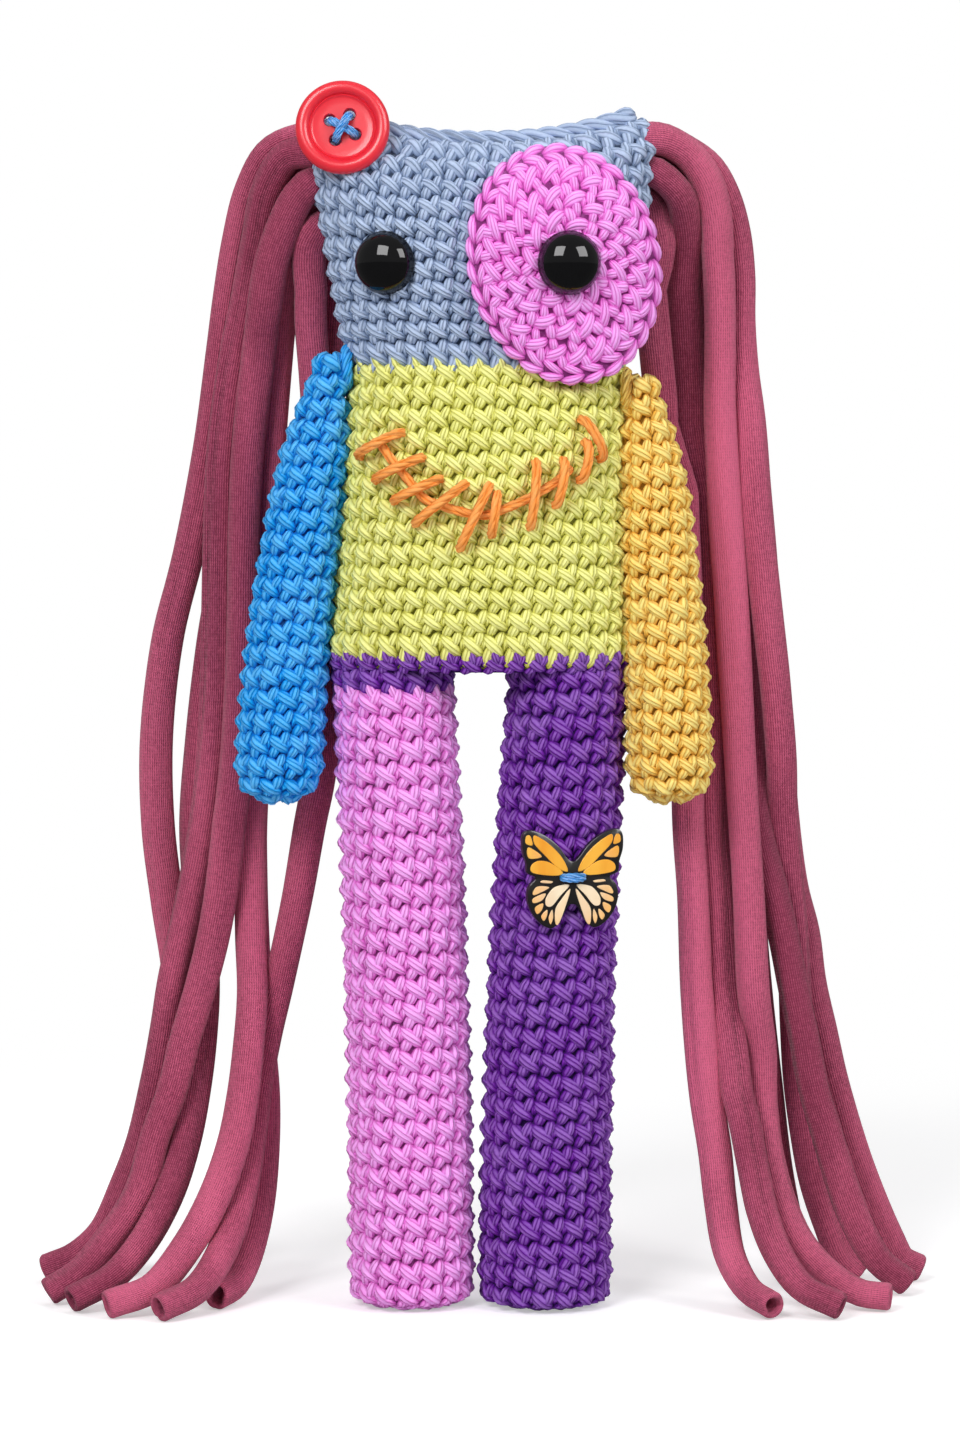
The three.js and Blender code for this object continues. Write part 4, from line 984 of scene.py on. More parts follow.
RIGHT_STRANDS = {
    "a": [
        (42.5, 0.8, 292.9), (46, 2, 292.5), (51.6, 4, 289.4), (56.3, 5.8, 283.4), (58.9, 8.2, 274.8),
        (59.7, 10.5, 264.5), (60.3, 11.6, 253.3), (60.4, 11.6, 240), (60.3, 11.6, 228), (60.8, 11.6, 216),
        (61.9, 11.6, 198), (63.4, 11.6, 178), (64.7, 11.6, 158), (65.9, 11.6, 138), (67, 11.6, 121),
        (68.2, 11.4, 103), (69.5, 11, 78), (71.5, 14.2, 63), (71.8, 14, 53), (72, 13, 48), (73.4, 8.5, 36),
        (76.6, 4, 24.5), (81.3, -0.5, 15.5), (89, -4.5, 8), (95.5, -7.5, 4.5), (101.4, -9, 3.9),
    ],
    "b": [
        (40.5, 8.6, 293.5), (45.5, 9.5, 293.5), (50.5, 11.4, 291.4), (57.2, 12.5, 287), (61.4, 14.5, 280.3),
        (64.3, 16, 270.8), (65.6, 17.3, 259.5), (65.6, 17.6, 248), (66.3, 16.5, 236), (67.9, 14.8, 223),
        (69.2, 13.2, 206), (70.8, 12.5, 191), (72.8, 12.2, 173), (74.8, 13, 156), (76.5, 15.5, 138),
        (77.4, 21.7, 121), (79.2, 26, 103), (80.4, 27, 91), (81.1, 27, 78), (81.6, 27, 66), (82.4, 26.5, 53),
        (84.4, 26, 38), (86.5, 26, 27), (90, 27, 16), (93.5, 28, 7.5), (97, 28.5, 3.9),
    ],
    "c": [
        (43.3, 0.8, 284.8), (46.2, 1.7, 282.9), (49.8, 3.8, 278.9), (51.6, 9, 271.8), (52.5, 14.2, 263),
        (53.5, 16.5, 253), (54.2, 17, 242), (55.1, 17.4, 228), (55.4, 17.4, 216), (56.6, 17, 198),
        (57.5, 16.8, 178), (58.7, 16.4, 153), (58.8, 16.4, 138), (58.8, 16.5, 121), (60, 17, 103),
        (61.9, 15, 78), (63.9, 10.1, 63), (65, 7, 53), (66.3, 5, 48), (68.6, 0, 36), (70.9, -6, 24.5),
        (74.9, -12, 14.4), (80.5, -16.5, 7.4), (88.5, -19.5, 3.9),
    ],
    "d": [
        (41.4, 8.8, 278.2), (43.4, 8.7, 275.6), (44.2, 7.9, 270.2), (46.3, 9.2, 263), (47.5, 10.8, 253),
        (48.8, 11.4, 240), (50, 11.5, 228), (50.5, 11.6, 216), (51.2, 11.6, 198), (52, 11.6, 178),
        (52.5, 11.6, 153), (52.8, 12, 121), (54, 12, 103), (55, 11.5, 78), (57.2, 8.5, 53), (59.5, 5.5, 38),
        (60.7, 0, 26), (62.8, -7, 13.5), (67.2, -13, 6.2), (72, -19.3, 3.9),
    ],
    "e": [
        (40.6, 8.6, 285.9), (45, 9.7, 285.2), (49.5, 13.3, 281.6), (53.6, 17.8, 275.2), (55.8, 21, 265.4),
        (56.5, 24, 256), (56.2, 24.8, 242), (55.6, 25.3, 228), (56.5, 25.8, 218), (59.1, 26, 198),
        (60.4, 26, 178), (62, 26.5, 153), (64, 26.5, 138), (67, 26.5, 121), (68.6, 27, 103), (71, 27.5, 78),
        (74, 28, 53), (77.3, 30, 27.5), (81, 34, 12), (86, 40, 4.5), (91, 46, 3.9),
    ],
    "f": [
        (30.5, 14.3, 284.8), (33.2, 17.6, 285.1), (38, 20.6, 284.2), (44.5, 22.5, 281.5), (51, 25.5, 277),
        (57.6, 27.6, 270.6), (61.8, 29, 262.4), (62.6, 29.5, 254), (63.2, 28.5, 242), (63.3, 25, 228),
        (63.5, 20.8, 218), (65, 19.5, 198), (66.1, 19.5, 178), (67.6, 19.5, 153), (68.9, 19.3, 138),
        (70, 19.3, 121), (74.7, 19, 103), (77.5, 19, 91), (80, 18.5, 78), (82.5, 17.5, 66), (84.9, 16, 53),
        (88.4, 14.5, 41), (92.1, 13, 29), (96.3, 12, 18), (101.6, 12, 9), (108, 12.5, 3.9),
    ],
    "g": [
        (31.3, 16.2, 276.2), (33.7, 19.9, 275.8), (38.5, 23.9, 274.7), (45, 27.5, 272.5), (51, 32, 268),
        (56, 34.8, 261), (61.5, 37.2, 252), (65.5, 36, 240), (67.5, 33, 225), (68.5, 29, 212), (70, 27, 195),
        (71.5, 26, 178), (74.6, 26, 153), (76.3, 27.5, 138), (78, 30, 121), (80.8, 33.7, 103),
        (83.9, 34.5, 91), (85.6, 33.8, 78), (88.2, 32.8, 66), (91, 32, 53), (95.9, 31, 36), (99.9, 31, 25),
        (105.6, 31.5, 12), (109, 31.7, 6), (113, 32, 3.9),
    ],
}


def smooth_path(points, step):
    """Points along the centripetal curve through the given ones, a step apart."""
    p = np.asarray(points, float)
    p = np.vstack([2 * p[0] - p[1], p, 2 * p[-1] - p[-2]])
    out = []
    for i in range(1, len(p) - 2):
        p0, p1, p2, p3 = p[i - 1:i + 3]
        t = np.cumsum([0] + [np.linalg.norm(b - a) ** 0.5 for a, b in ((p0, p1), (p1, p2), (p2, p3))])
        for at in np.linspace(t[1], t[2], 24, endpoint=False):
            a1 = mix(p0, p1, (at - t[0]) / (t[1] - t[0]))
            a2 = mix(p1, p2, (at - t[1]) / (t[2] - t[1]))
            a3 = mix(p2, p3, (at - t[2]) / (t[3] - t[2]))
            b1 = mix(a1, a2, (at - t[0]) / (t[2] - t[0]))
            b2 = mix(a2, a3, (at - t[1]) / (t[3] - t[1]))
            out.append(mix(b1, b2, (at - t[1]) / (t[2] - t[1])))
    out.append(p[-2])
    out = np.array(out)
    run = run_along(out)
    at = np.linspace(0, run[-1], max(2, round(run[-1] / step)) + 1)
    return np.stack([np.interp(at, run, out[:, k]) for k in range(3)], 1), run[-1]


def frames(path):
    """Two directions across a path at each of its points, turning as little as they can."""
    along_it = np.gradient(path, axis=0)
    along_it /= np.linalg.norm(along_it, axis=1, keepdims=True)
    side = np.cross(along_it[0], [0.31, 0.95, 0.05])
    sides = []
    for t in along_it:
        side = side - t * (side @ t)
        side = side / np.linalg.norm(side)
        sides.append(side)
    sides = np.array(sides)
    return along_it, sides, np.cross(along_it, sides)


def swept(path, radii, angles):
    """Rings round a path: radii has one row of radii for each point."""
    _, side, other = frames(path)
    side, other = side[:, None], other[:, None]
    return path[:, None] + radii[:, :, None] * (
        side * np.cos(angles)[None, :, None] + other * np.sin(angles)[None, :, None]
    )


# A strand's root, gathered and sewn into the head, as (depth inside it, share of the strand's radius)
ROOT_SHARES = [(5.0, 0.3), (3.0, 0.75), (0.0, 1.0)]
ROOT_DEPTHS = [5.0, 4.2, 2.8, 1.2]
# Its rim, which rolls over and runs back inside: how far ahead of the end, the share of the radius, and how
# much light reaches it
RIM_SHARES = [
    (0.9, 1.0, 1), (1.5, 0.9, 1), (1.6, 0.74, 0.9), (1.0, 0.6, 0.6), (-1.5, 0.52, 0.1), (-5.0, 0.46, 0),
]
# How far a strand is drawn towards the head beside the cheeks, and the levels between which it is
LEANS = {"left_d": 2.0, "left_f": 2.0, "right_c": 2.0, "right_d": 4.6, "right_e": 2.5}
LEAN_LEVELS = [(205, 0), (222, 1), (256, 1), (268, 0)]


def strand_radii(run, angles, radius, number):
    """Radii of a strand's rings: uneven all along, with two creases that wander round it."""

    def crease(turn, width):
        return np.exp(-(np.angle(np.exp(1j * turn)) / width) ** 2)

    depths, shares = np.array(ROOT_SHARES).T
    return radius * np.interp(run, -depths, shares) * (
        1
        + 0.035 * np.sin(2 * angles + run / 23 + number)
        + 0.02 * np.sin(3 * angles - run / 31 + 2 * number)
        + 0.02 * np.sin(run / 17 + number * 1.7)
        - 0.14 * crease(angles - 0.6 * number - run / 140, 0.2)
        - 0.07 * crease(angles + 1.9 * number + run / 90, 0.25)
        + 0.12 * np.exp(-run / 14)
    )


def strand_mesh(path, length, radius, number):
    """Points, faces and ply of a rolled strand along a path, with an open, rolled end, and a painted light
    level that gives painted shade in its creases and inside the rolled end.
    """
    angles = np.arange(STRAND_SIDES) / STRAND_SIDES * TURN
    inward = np.array(ROOT_DEPTHS)[:, None]
    outward = (path[1] - path[0]) / np.linalg.norm(path[1] - path[0])
    rooted = np.vstack([path[0] - outward * inward, path])
    run = np.vstack([-inward, np.linspace(0, length, len(path))[:, None]])
    radii = strand_radii(run, angles[None], radius, number)
    rings = swept(rooted, radii, angles)
    away, _, _ = frames(rooted)
    hang = np.abs(away[:, 2:]) ** 2
    flat = np.stack([1 + STRAND_SPREAD * hang, 1 - STRAND_FLATNESS * hang, np.ones_like(hang)], 2)
    rings = rooted[:, None] + (rings - rooted[:, None]) * flat
    fold = (1 + 0.10 * np.sin(angles * 2 + number) + 0.06 * np.sin(angles * 3 + 2 * number))[:, None]
    rim = [
        path[-1] + away[-1] * ahead + (rings[-1] - path[-1]) * share * (fold if share < 0.8 else 1)
        for ahead, share, _ in RIM_SHARES
    ]
    rows = len(rooted) + len(rim)
    light = np.concatenate([np.ones(len(rooted)), [light for _, _, light in RIM_SHARES]])
    every = np.vstack([radii, np.tile(radii[-1], (len(rim), 1))])
    # Painted shade in the creases, the deeper the crease the darker
    crease_shade = np.clip(1 - every / radius, 0, CREASE_DEPTH) * CREASE_SHADE
    ply = [
        np.tile(np.abs(angles / TURN * 2 - 1), rows),
        np.repeat(np.concatenate([run[:, 0], length + np.arange(1, len(rim) + 1)]), STRAND_SIDES),
        np.repeat(light, STRAND_SIDES) - crease_shade.ravel(),
    ]
    points = np.concatenate([rings, np.array(rim)]).reshape(-1, 3)
    return points, capped_faces(rows, STRAND_SIDES), np.stack(ply, 1)


def strand_object(side, key, route, diameter, material, number):
    """A rolled jersey strand of a pigtail, which leaves the head and hangs to the floor."""
    name = f"{side}_strand_{key}"
    path, length = smooth_path(route, 2.0)
    levels, shares = np.array(LEAN_LEVELS).T
    lean = LEANS.get(f"{side}_{key}", 0.0)
    path[:, 0] -= np.sign(path[:, 0]) * lean * np.interp(path[:, 2], levels, shares)
    points, faces, ply = strand_mesh(path, length, diameter / 2, number)
    tone = np.full(len(points), (number * 0.618) % 1)
    obj = new_object(name, points, faces, [material], ply=ply, tone=tone)
    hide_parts(name)
    side + "_pigtail"
    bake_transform(obj)


def twisted(name, paths, diameter, material, body, node=None, plies=3, pitch=5.0, step=0.5, sides=8):
    """Plied yarn along one or more paths: each ply is a thin tube that winds round the others."""
    points, faces, ply, tone = [], [], [], []
    angles = np.arange(sides) / sides * TURN
    for number, route in enumerate(paths):
        path, length = smooth_path(route, step)
        _, side, other = frames(path)
        run = np.linspace(0, length, len(path))
        taper = np.clip(np.minimum(run, length - run) / (diameter * 0.4) + 0.35, 0, 1)
        off = (diameter * PLY_OFF_SHARE * taper)[:, None]
        radii = np.repeat((diameter * PLY_RADIUS_SHARE * taper)[:, None], sides, 1)
        for k in range(plies):
            turn = run / pitch * TURN + k * TURN / plies + number
            core = path + off * (side * np.cos(turn)[:, None] + other * np.sin(turn)[:, None])
            faces += capped_faces(len(path), sides, sum(len(tube) for tube in points))
            points.append(swept(core, radii, angles).reshape(-1, 3))
            across = np.tile(angles / TURN, len(path))
            # The last part of each ply is an even, high painted light level
            ply.append(np.stack([across, np.repeat(run / diameter / 3, sides), np.full(len(across), 0.9)], 1))
            tone.append(np.full(len(across), (0.37 * (number + k)) % 1))
    points, ply, tone = np.vstack(points), np.vstack(ply), np.concatenate(tone)
    made = new_object(name, points, faces, [material], body, ply=ply, tone=tone)
    if node:
        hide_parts(node)


def turned(profile, count=64):
    """A closed solid turned about +Z from points (radius, height), the first and last on the axis."""
    angles = np.arange(count) / count * TURN
    rows = profile[1:-1]
    points = [(r * math.cos(a), r * math.sin(a), h) for r, h in rows for a in angles]
    faces = grid_faces(len(rows), count)
    first, last = len(points), len(points) + 1
    points += [(0, 0, profile[0][1]), (0, 0, profile[-1][1])]
    base = (len(rows) - 1) * count
    for j in range(count):
        k = (j + 1) % count
        faces += [(first, k, j), (last, base + j, base + k)]
    return np.array(points), faces


def arc(centre, radius, start, end, steps):
    """Points of an arc in (radius, height), with angles in degrees."""
    angles = np.radians(np.linspace(start, end, steps))
    return [(centre[0] + radius * math.cos(a), centre[1] + radius * math.sin(a)) for a in angles]


def seated(points, centre, right, up, out):
    """Turns points about their own axes into the doll's."""
    points = np.asarray(points)
    return np.asarray(centre) + points[:, :1] * right + points[:, 1:2] * up + points[:, 2:] * out


def middle_of(node):
    """Middle of a solid's box in millimetres about the doll's own middle."""
    low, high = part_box(node)
    return (np.array(low) + np.array(high)) / 2 / MM - [SIDE_OFFSET, DEPTH_OFFSET, 0]


def closed_outline(points, steps):
    """A smooth closed outline through the given points, with so many steps between two of them."""
    p = np.asarray(points, float)
    out = []
    for i in range(len(p)):
        a, b, c, d = p[i - 1], p[i], p[(i + 1) % len(p)], p[(i + 2) % len(p)]
        bend, twist = 2 * a - 5 * b + 4 * c - d, 3 * b - a - 3 * c + d
        for t in np.arange(steps) / steps:
            out.append(0.5 * (2 * b + (c - a) * t + bend * t ** 2 + twist * t ** 3))
    return np.array(out)


def plate(outline, levels):
    """A flat plate with an outline: levels are (inset, height) from its back to its front."""
    step = np.roll(outline, -1, 0) - np.roll(outline, 1, 0)
    area = (outline[:, 0] * np.roll(outline[:, 1], -1) - np.roll(outline[:, 0], -1) * outline[:, 1]).sum()
    inward = np.stack([-step[:, 1], step[:, 0]], 1) * (1 if area > 0 else -1)
    inward /= np.linalg.norm(inward, axis=1, keepdims=True)
    count = len(outline)
    rings = [np.column_stack([outline + inward * inset, np.full(count, height)]) for inset, height in levels]
    points, faces = np.concatenate(rings), capped_faces(len(levels), count)
    if area < 0:
        faces = [face[::-1] for face in faces]
    return points, faces


def drilled(obj, holes):
    """Cuts solids, given as points and faces in the same places, out of an object."""
    points, faces = [], []
    for hole_points, hole_faces in holes:
        faces += [[len(points) + k for k in face] for face in hole_faces]
        points += [tuple(q) for q in hole_points]
    cutter = new_object("cutter", points, faces, [])
    modifier = obj.modifiers.new("holes", "BOOLEAN")
    modifier.operation, modifier.object, modifier.solver = "DIFFERENCE", cutter, "EXACT"
    graph = bpy.context.evaluated_depsgraph_get()
    mesh = bpy.data.meshes.new_from_object(obj.evaluated_get(graph), depsgraph=graph)
    obj.modifiers.remove(modifier)
    bpy.data.objects.remove(cutter)
    obj.data = mesh
    mesh.polygons.foreach_set("use_smooth", [True] * len(mesh.polygons))
    mesh.set_sharp_from_angle(angle=math.radians(40))


def moulded(name, colour, roughness, grain=0.15, coat=0.0):
    """Moulded plastic with a faint unevenness."""
    g = Graph(bpy.data.materials.new(name))
    cloudy = g.noise(60, 3)
    speck = g.noise(700, 2)
    shade = ((cloudy - 0.5) * grain * 2 + (speck - 0.5) * grain).clamp(-0.5, 0.5) + 0.5
    return g.surface(
        Base_Color=g.mix(shade, tinted(colour, 0.82), tinted(colour, 1.15)),
        Roughness=(cloudy - 0.5) * 0.12 + roughness,
        Coat_Weight=coat,
        Coat_Roughness=0.08,
        Normal=g.bump(speck, 0.00004, 0.5),
    )


# Raised painted cells of the butterfly's right half: how pale the paint is, then the outline in shares of the
# butterfly's half width and height
BUTTERFLY_CELLS = [
    (0.0, [
        (0.10, 0.06), (0.2, 0.19), (0.42, 0.32), (0.66, 0.41), (0.76, 0.42), (0.74, 0.34), (0.55, 0.23),
        (0.3, 0.10),
    ]),
    (0.1, [(0.78, 0.33), (0.82, 0.42), (0.9, 0.42), (0.91, 0.35)]),
    (0.25, [(0.60, 0.215), (0.86, 0.31), (0.85, 0.2)]),
    (0.0, [(0.2, 0.055), (0.46, 0.155), (0.68, 0.17), (0.81, 0.12), (0.76, 0.05), (0.33, 0.02)]),
    (0.7, [(0.40, -0.035), (0.58, -0.025), (0.62, -0.045), (0.43, -0.055)]),
    (1.0, [
        (0.07, -0.075), (0.33, -0.09), (0.46, -0.15), (0.53, -0.22), (0.51, -0.28), (0.4, -0.28),
        (0.24, -0.18),
    ]),
    (0.6, [(0.46, -0.095), (0.68, -0.085), (0.77, -0.14), (0.75, -0.17), (0.6, -0.14)]),
    (0.7, [(0.53, -0.155), (0.76, -0.2), (0.76, -0.25), (0.6, -0.225)]),
    (0.5, [(0.58, -0.255), (0.73, -0.295), (0.69, -0.36), (0.6, -0.32)]),
    (0.7, [(0.5, -0.32), (0.61, -0.38), (0.56, -0.43), (0.5, -0.38)]),
    (0.75, [(0.4, -0.32), (0.47, -0.4), (0.43, -0.465), (0.385, -0.4)]),
    (0.85, [(0.05, -0.115), (0.24, -0.23), (0.34, -0.32), (0.34, -0.45), (0.28, -0.465), (0.17, -0.33)]),
]
BUTTERFLY_OUTLINE = [
    (0, 0.16), (0.11, 0.2), (0.3, 0.33), (0.55, 0.43), (0.82, 0.48), (0.96, 0.43), (0.97, 0.28), (0.9, 0.15),
    (0.88, 0.05), (0.72, 0), (0.84, -0.08), (0.88, -0.2), (0.8, -0.34), (0.62, -0.46), (0.4, -0.51),
    (0.22, -0.42), (0.1, -0.3), (0, -0.27),
]

# Mouth: the long line, then the two ends of each stitch across it, in shares of the trunk's half width and
# height
MOUTH_LINE = [
    (-0.65, 0.74), (-0.57, 0.678), (-0.44, 0.594), (-0.36, 0.545), (-0.24, 0.518), (-0.07, 0.494),
    (0.03, 0.488), (0.16, 0.51), (0.33, 0.55), (0.49, 0.6), (0.59, 0.65),
]
MOUTH_STITCHES = [
    ((-0.775, 0.683), (-0.5, 0.766)), ((-0.675, 0.603), (-0.37, 0.683)), ((-0.56, 0.533), (-0.255, 0.611)),
    ((-0.425, 0.457), (-0.09, 0.595)), ((-0.135, 0.373), (0.065, 0.591)), ((0.075, 0.42), (0.115, 0.56)),
    ((0.325, 0.445), (0.365, 0.67)), ((0.49, 0.519), (0.54, 0.675)), ((0.645, 0.603), (0.68, 0.735)),
    ((0.655, 0.812), (0.78, 0.675)),
]


def yarn_colour(piece, red, green, blue):
    """A colour property, with its default as a screen shows it."""
    return FloatVectorProperty(
        name=piece.capitalize(), description="Yarn colour of the " + piece, default=rgb(red, green, blue),
        size=3, subtype="COLOR", min=0, max=1,
    )


class DollColours(bpy.types.PropertyGroup):
    """Yarn colours of the doll."""

    head: yarn_colour("head", 158, 176, 206)
    torso: yarn_colour("torso", 234, 232, 128)
    purple: yarn_colour("purple leg and pelvis", 116, 34, 164)
    pink: yarn_colour("pink leg", 248, 148, 234)
    patch: yarn_colour("eye patch", 255, 146, 238)
    blue: yarn_colour("blue arm", 0, 160, 242)
    yellow: yarn_colour("yellow arm", 255, 206, 100)
    hair: yarn_colour("pigtails", 164, 60, 94)
    mouth: yarn_colour("mouth", 246, 150, 66)
    thread: yarn_colour("buttons' thread", 20, 150, 232)


class DollMaking(bpy.types.PropertyGroup):
    """How the doll is worked, and the sizes of its yarns and eyes."""

    seed: IntProperty(
        name="Seed", description="Number from which the stitches' unevenness is drawn", default=7, min=0,
    )
    unevenness: FloatProperty(
        name="Unevenness", description="How much each stitch is turned and resized at random",
        default=0.055, min=0, max=0.3, subtype="FACTOR",
    )
    scallop: FloatProperty(
        name="Scallop", description="How far each round bulges out between its edges",
        default=0.0008, min=0, max=0.002, unit="LENGTH",
    )
    strand: FloatProperty(
        name="Strand", description="Thickness of a jersey strand of the pigtails",
        default=0.0072, min=0.003, max=0.01, unit="LENGTH",
    )
    mouth_yarn: FloatProperty(
        name="Mouth yarn", description="Thickness of the yarn that the mouth is sewn with",
        default=0.0022, min=0.001, max=0.004, unit="LENGTH",
    )
    eye: FloatProperty(
        name="Eye", description="Diameter of a safety eye's dome",
        default=0.015, min=0.01, max=0.02, unit="LENGTH",
    )


def in_mm(length):
    """A length property in millimetres, without the noise of its last digits."""
    return round(length / MM, 4)


def tinted(colour, factor):
    return tuple(min(1.0, c * factor) for c in colour)


def toward(colour, other, share):
    return tuple(mix(a, b, share) for a, b in zip(colour, other))


def yarn_of(name):
    """The crochet yarn of a colour, made once."""
    made = bpy.data.materials.get(name + "_crochet")
    if made:
        return made
    colour = tuple(getattr(bpy.context.scene.doll_colours, name))
    # The deep colour is painted shade for the hollows, and the lighter colour is for painted highlights and
    # paler flecks
    deep = tuple(c ** 1.6 * 0.22 for c in colour)
    highlight_and_fleck = toward(tinted(colour, 1.3), WHITE, 0.13)
    return yarn(name + "_crochet", deep, colour, highlight_and_fleck)


def thread_yarn():
    """The thread of both buttons, made once."""
    made = bpy.data.materials.get("thread_plies")
    if made:
        return made
    colour = tuple(bpy.context.scene.doll_colours.thread)
    # A paler colour for painted highlights and paler flecks, and a darker one for painted shade in the
    # hollows
    highlight_and_fleck = toward(colour, WHITE, 0.4)
    return yarn("thread_plies", tinted(colour, 0.35), tinted(colour, 1.15), highlight_and_fleck, plies=3)


def worked(making):
    """What every cover of stitches takes from the panel."""
    return {"unevenness": making.unevenness, "scallop": in_mm(making.scallop)}


def even_rounds(skin):
    """Rounds that fill a skin evenly from its closed end up."""
    return list(np.linspace(0, skin.end, round(skin.end) + 1)[1:])


class DOLL_OT_camera(bpy.types.Operator):
    """Sets the camera in front of the doll, a little above its middle."""

    bl_idname = "doll.camera"
    bl_label = "Camera"
    bl_options = {"REGISTER", "UNDO"}

    def execute(self, context):
        data = bpy.data.cameras.new("camera")
        data.lens, data.sensor_width = CAMERA_LENS, CAMERA_SENSOR
        data.clip_start, data.clip_end = 0.05, 50
        camera = bpy.data.objects.new("camera", data)
        context.scene.collection.objects.link(camera)
        camera.location = Vector((SIDE_OFFSET, DEPTH_OFFSET - CAMERA_DISTANCE, CAMERA_HEIGHT)) * MM
        target = Vector((SIDE_OFFSET, DEPTH_OFFSET, CAMERA_AIM)) * MM
        camera.rotation_euler = (target - camera.location).to_track_quat("-Z", "Y").to_euler()
        context.scene.camera = camera
        return {"FINISHED"}


def floor_material():
    """A floor that looks white and takes the doll's shadow, but is dim in reflections."""
    g = Graph(bpy.data.materials.new("white_floor"))
    x, y, _ = g.split(g.place())
    radius = (x * x + y * y) ** 0.5
    camera, glossy, through = g.rays()
    seen = (camera + through).clamp()
    matt = g.node("ShaderNodeBsdfDiffuse", {"Color": (0.8, 0.8, 0.81, 1)})[0]
    lit = g.node("ShaderNodeAddShader", {0: matt, 1: g.glow(seen * 0.42)})[0]
    plain = g.glow(seen * 0.5 + 0.5)
    both = g.node("ShaderNodeMixShader", {0: radius.smooth(*FLOOR_FADE), 1: lit, 2: plain})[0]
    whole = g.node("ShaderNodeMixShader", {0: glossy, 1: both, 2: g.glow(0.15)})[0]
    g.node("ShaderNodeOutputMaterial", {"Surface": whole})
    return g.owner


def surround():
    """A world that looks white and lights the doll dimly."""
    g = Graph(bpy.data.worlds.new("surround"))
    camera, _, through = g.rays()
    strength = (camera + through).clamp() * (1 - SURROUND_STRENGTH) + SURROUND_STRENGTH
    back = g.node("ShaderNodeBackground", {"Color": (*WHITE, 1), "Strength": strength})[0]
    g.node("ShaderNodeOutputWorld", {"Surface": back})
    return g.owner


class DOLL_OT_stage(bpy.types.Operator):
    """Builds a white floor, soft lights and a white surround."""

    bl_idname = "doll.stage"
    bl_label = "Stage"
    bl_options = {"REGISTER", "UNDO"}

    def execute(self, context):
        scene = context.scene
        mesh = bpy.data.meshes.new("floor")
        corners = [(x * FLOOR_REACH, y * FLOOR_REACH, 0) for x, y in ((-1, -1), (1, -1), (1, 1), (-1, 1))]
        mesh.from_pydata(corners, [], [(0, 1, 2, 3)])
        mesh.materials.append(floor_material())
        floor = bpy.data.objects.new("floor", mesh)
        scene.collection.objects.link(floor)
        scene.world = surround()
        for name, (place, size, power, mirrored) in LAMPS.items():
            data = bpy.data.lights.new(name, "AREA")
            data.size, data.energy = size, power
            lamp = bpy.data.objects.new(name, data)
            lamp.visible_diffuse, lamp.visible_glossy = not mirrored, mirrored
            scene.collection.objects.link(lamp)
            lamp.location = place
            aim = Vector(LAMP_AIM) - lamp.location
            lamp.rotation_euler = aim.to_track_quat("-Z", "Y").to_euler()
        scene.view_settings.view_transform = "Standard"
        return {"FINISHED"}


class DOLL_OT_pigtails(bpy.types.Operator):
    """Hangs the rolled jersey strands from the head's corners to the floor."""

    bl_idname = "doll.pigtails"
    bl_label = "Pigtails"
    bl_options = {"REGISTER", "UNDO"}

    def execute(self, context):
        colour = tuple(context.scene.doll_colours.hair)
        # A paler colour for painted highlights and paler flecks, and a much darker one for painted shade in
        # the creases and inside the rolled ends
        highlight_and_fleck = toward(tinted(colour, 1.85), WHITE, 0.06)
        material = jersey("jersey", tinted(colour, 0.16), tinted(colour, 0.62), highlight_and_fleck)
        diameter = in_mm(context.scene.doll_making.strand)
        routes = [("left", *item) for item in LEFT_STRANDS.items()]
        routes += [("right", *item) for item in RIGHT_STRANDS.items()]
        for number, (side, key, route) in enumerate(routes, 1):
            strand_object(side, key, route, diameter, material, number)
        return {"FINISHED"}


class DOLL_OT_body(bpy.types.Operator):
    """Works the pelvis, the torso and the head in rounds, and sews up the crown."""

    bl_idname = "doll.body"
    bl_label = "Body"
    bl_options = {"REGISTER", "UNDO"}

    def execute(self, context):
        making = context.scene.doll_making
        pelvis = cover_object(
            "pelvis", bag_skin(PELVIS_Z, TRUNK_Z + PELVIS_LAP, PELVIS_ROUND), [PELVIS_ROUND],
            [yarn_of("purple")], seed=making.seed, lift=PELVIS_LIFT, **worked(making),
        )
        pelvis.data = joined(pelvis, points_at("pelvis_points", TRUNK_Z, yarn_of("purple"), making))
        finish_cover(pelvis, "body", "pelvis_cover", slot="purple_yarn")
        torso = cover_object(
            "torso", bag_skin(TRUNK_Z, NECK_Z, TORSO_ROUNDS, COVER_LAP), list(range(1, TORSO_ROUNDS + 1)),
            [yarn_of("torso")], seed=making.seed + 1, tips=0.45, **worked(making),
        )
        torso.data = joined(torso, points_at("torso_points", NECK_Z, yarn_of("torso"), making))
        finish_cover(torso, "body", "torso_cover", slot="torso_yarn")
        head = cover_object(
            "head", bag_skin(NECK_Z, HEAD_TOP - CROWN_DROP, HEAD_ROUNDS, COVER_LAP, CROWN_SHUT_SHARE),
            list(range(1, HEAD_ROUNDS + 1)), [yarn_of("head")], seed=making.seed + 2, tips=0.6,
            **worked(making),
        )
        finish_cover(head, "body", "head_cover", slot="head_yarn")
        reach = float(along(BAG_ROWS, 1, HEAD_TOP)) - SEAM_INSET
        ridge = [
            (HEAD_SHIFT + reach * t, SEAM_Y, HEAD_TOP - SEAM_DROP + float(corner_lift(HEAD_TOP, t)))
            for t in np.linspace(-1, 1, 15)
        ]
        twisted(
            "crown_seam", [ridge], CROWN_YARN, yarn_of("head"), "body",
            pitch=3 * CROWN_YARN, step=1.0, sides=12,
        )
        return {"FINISHED"}


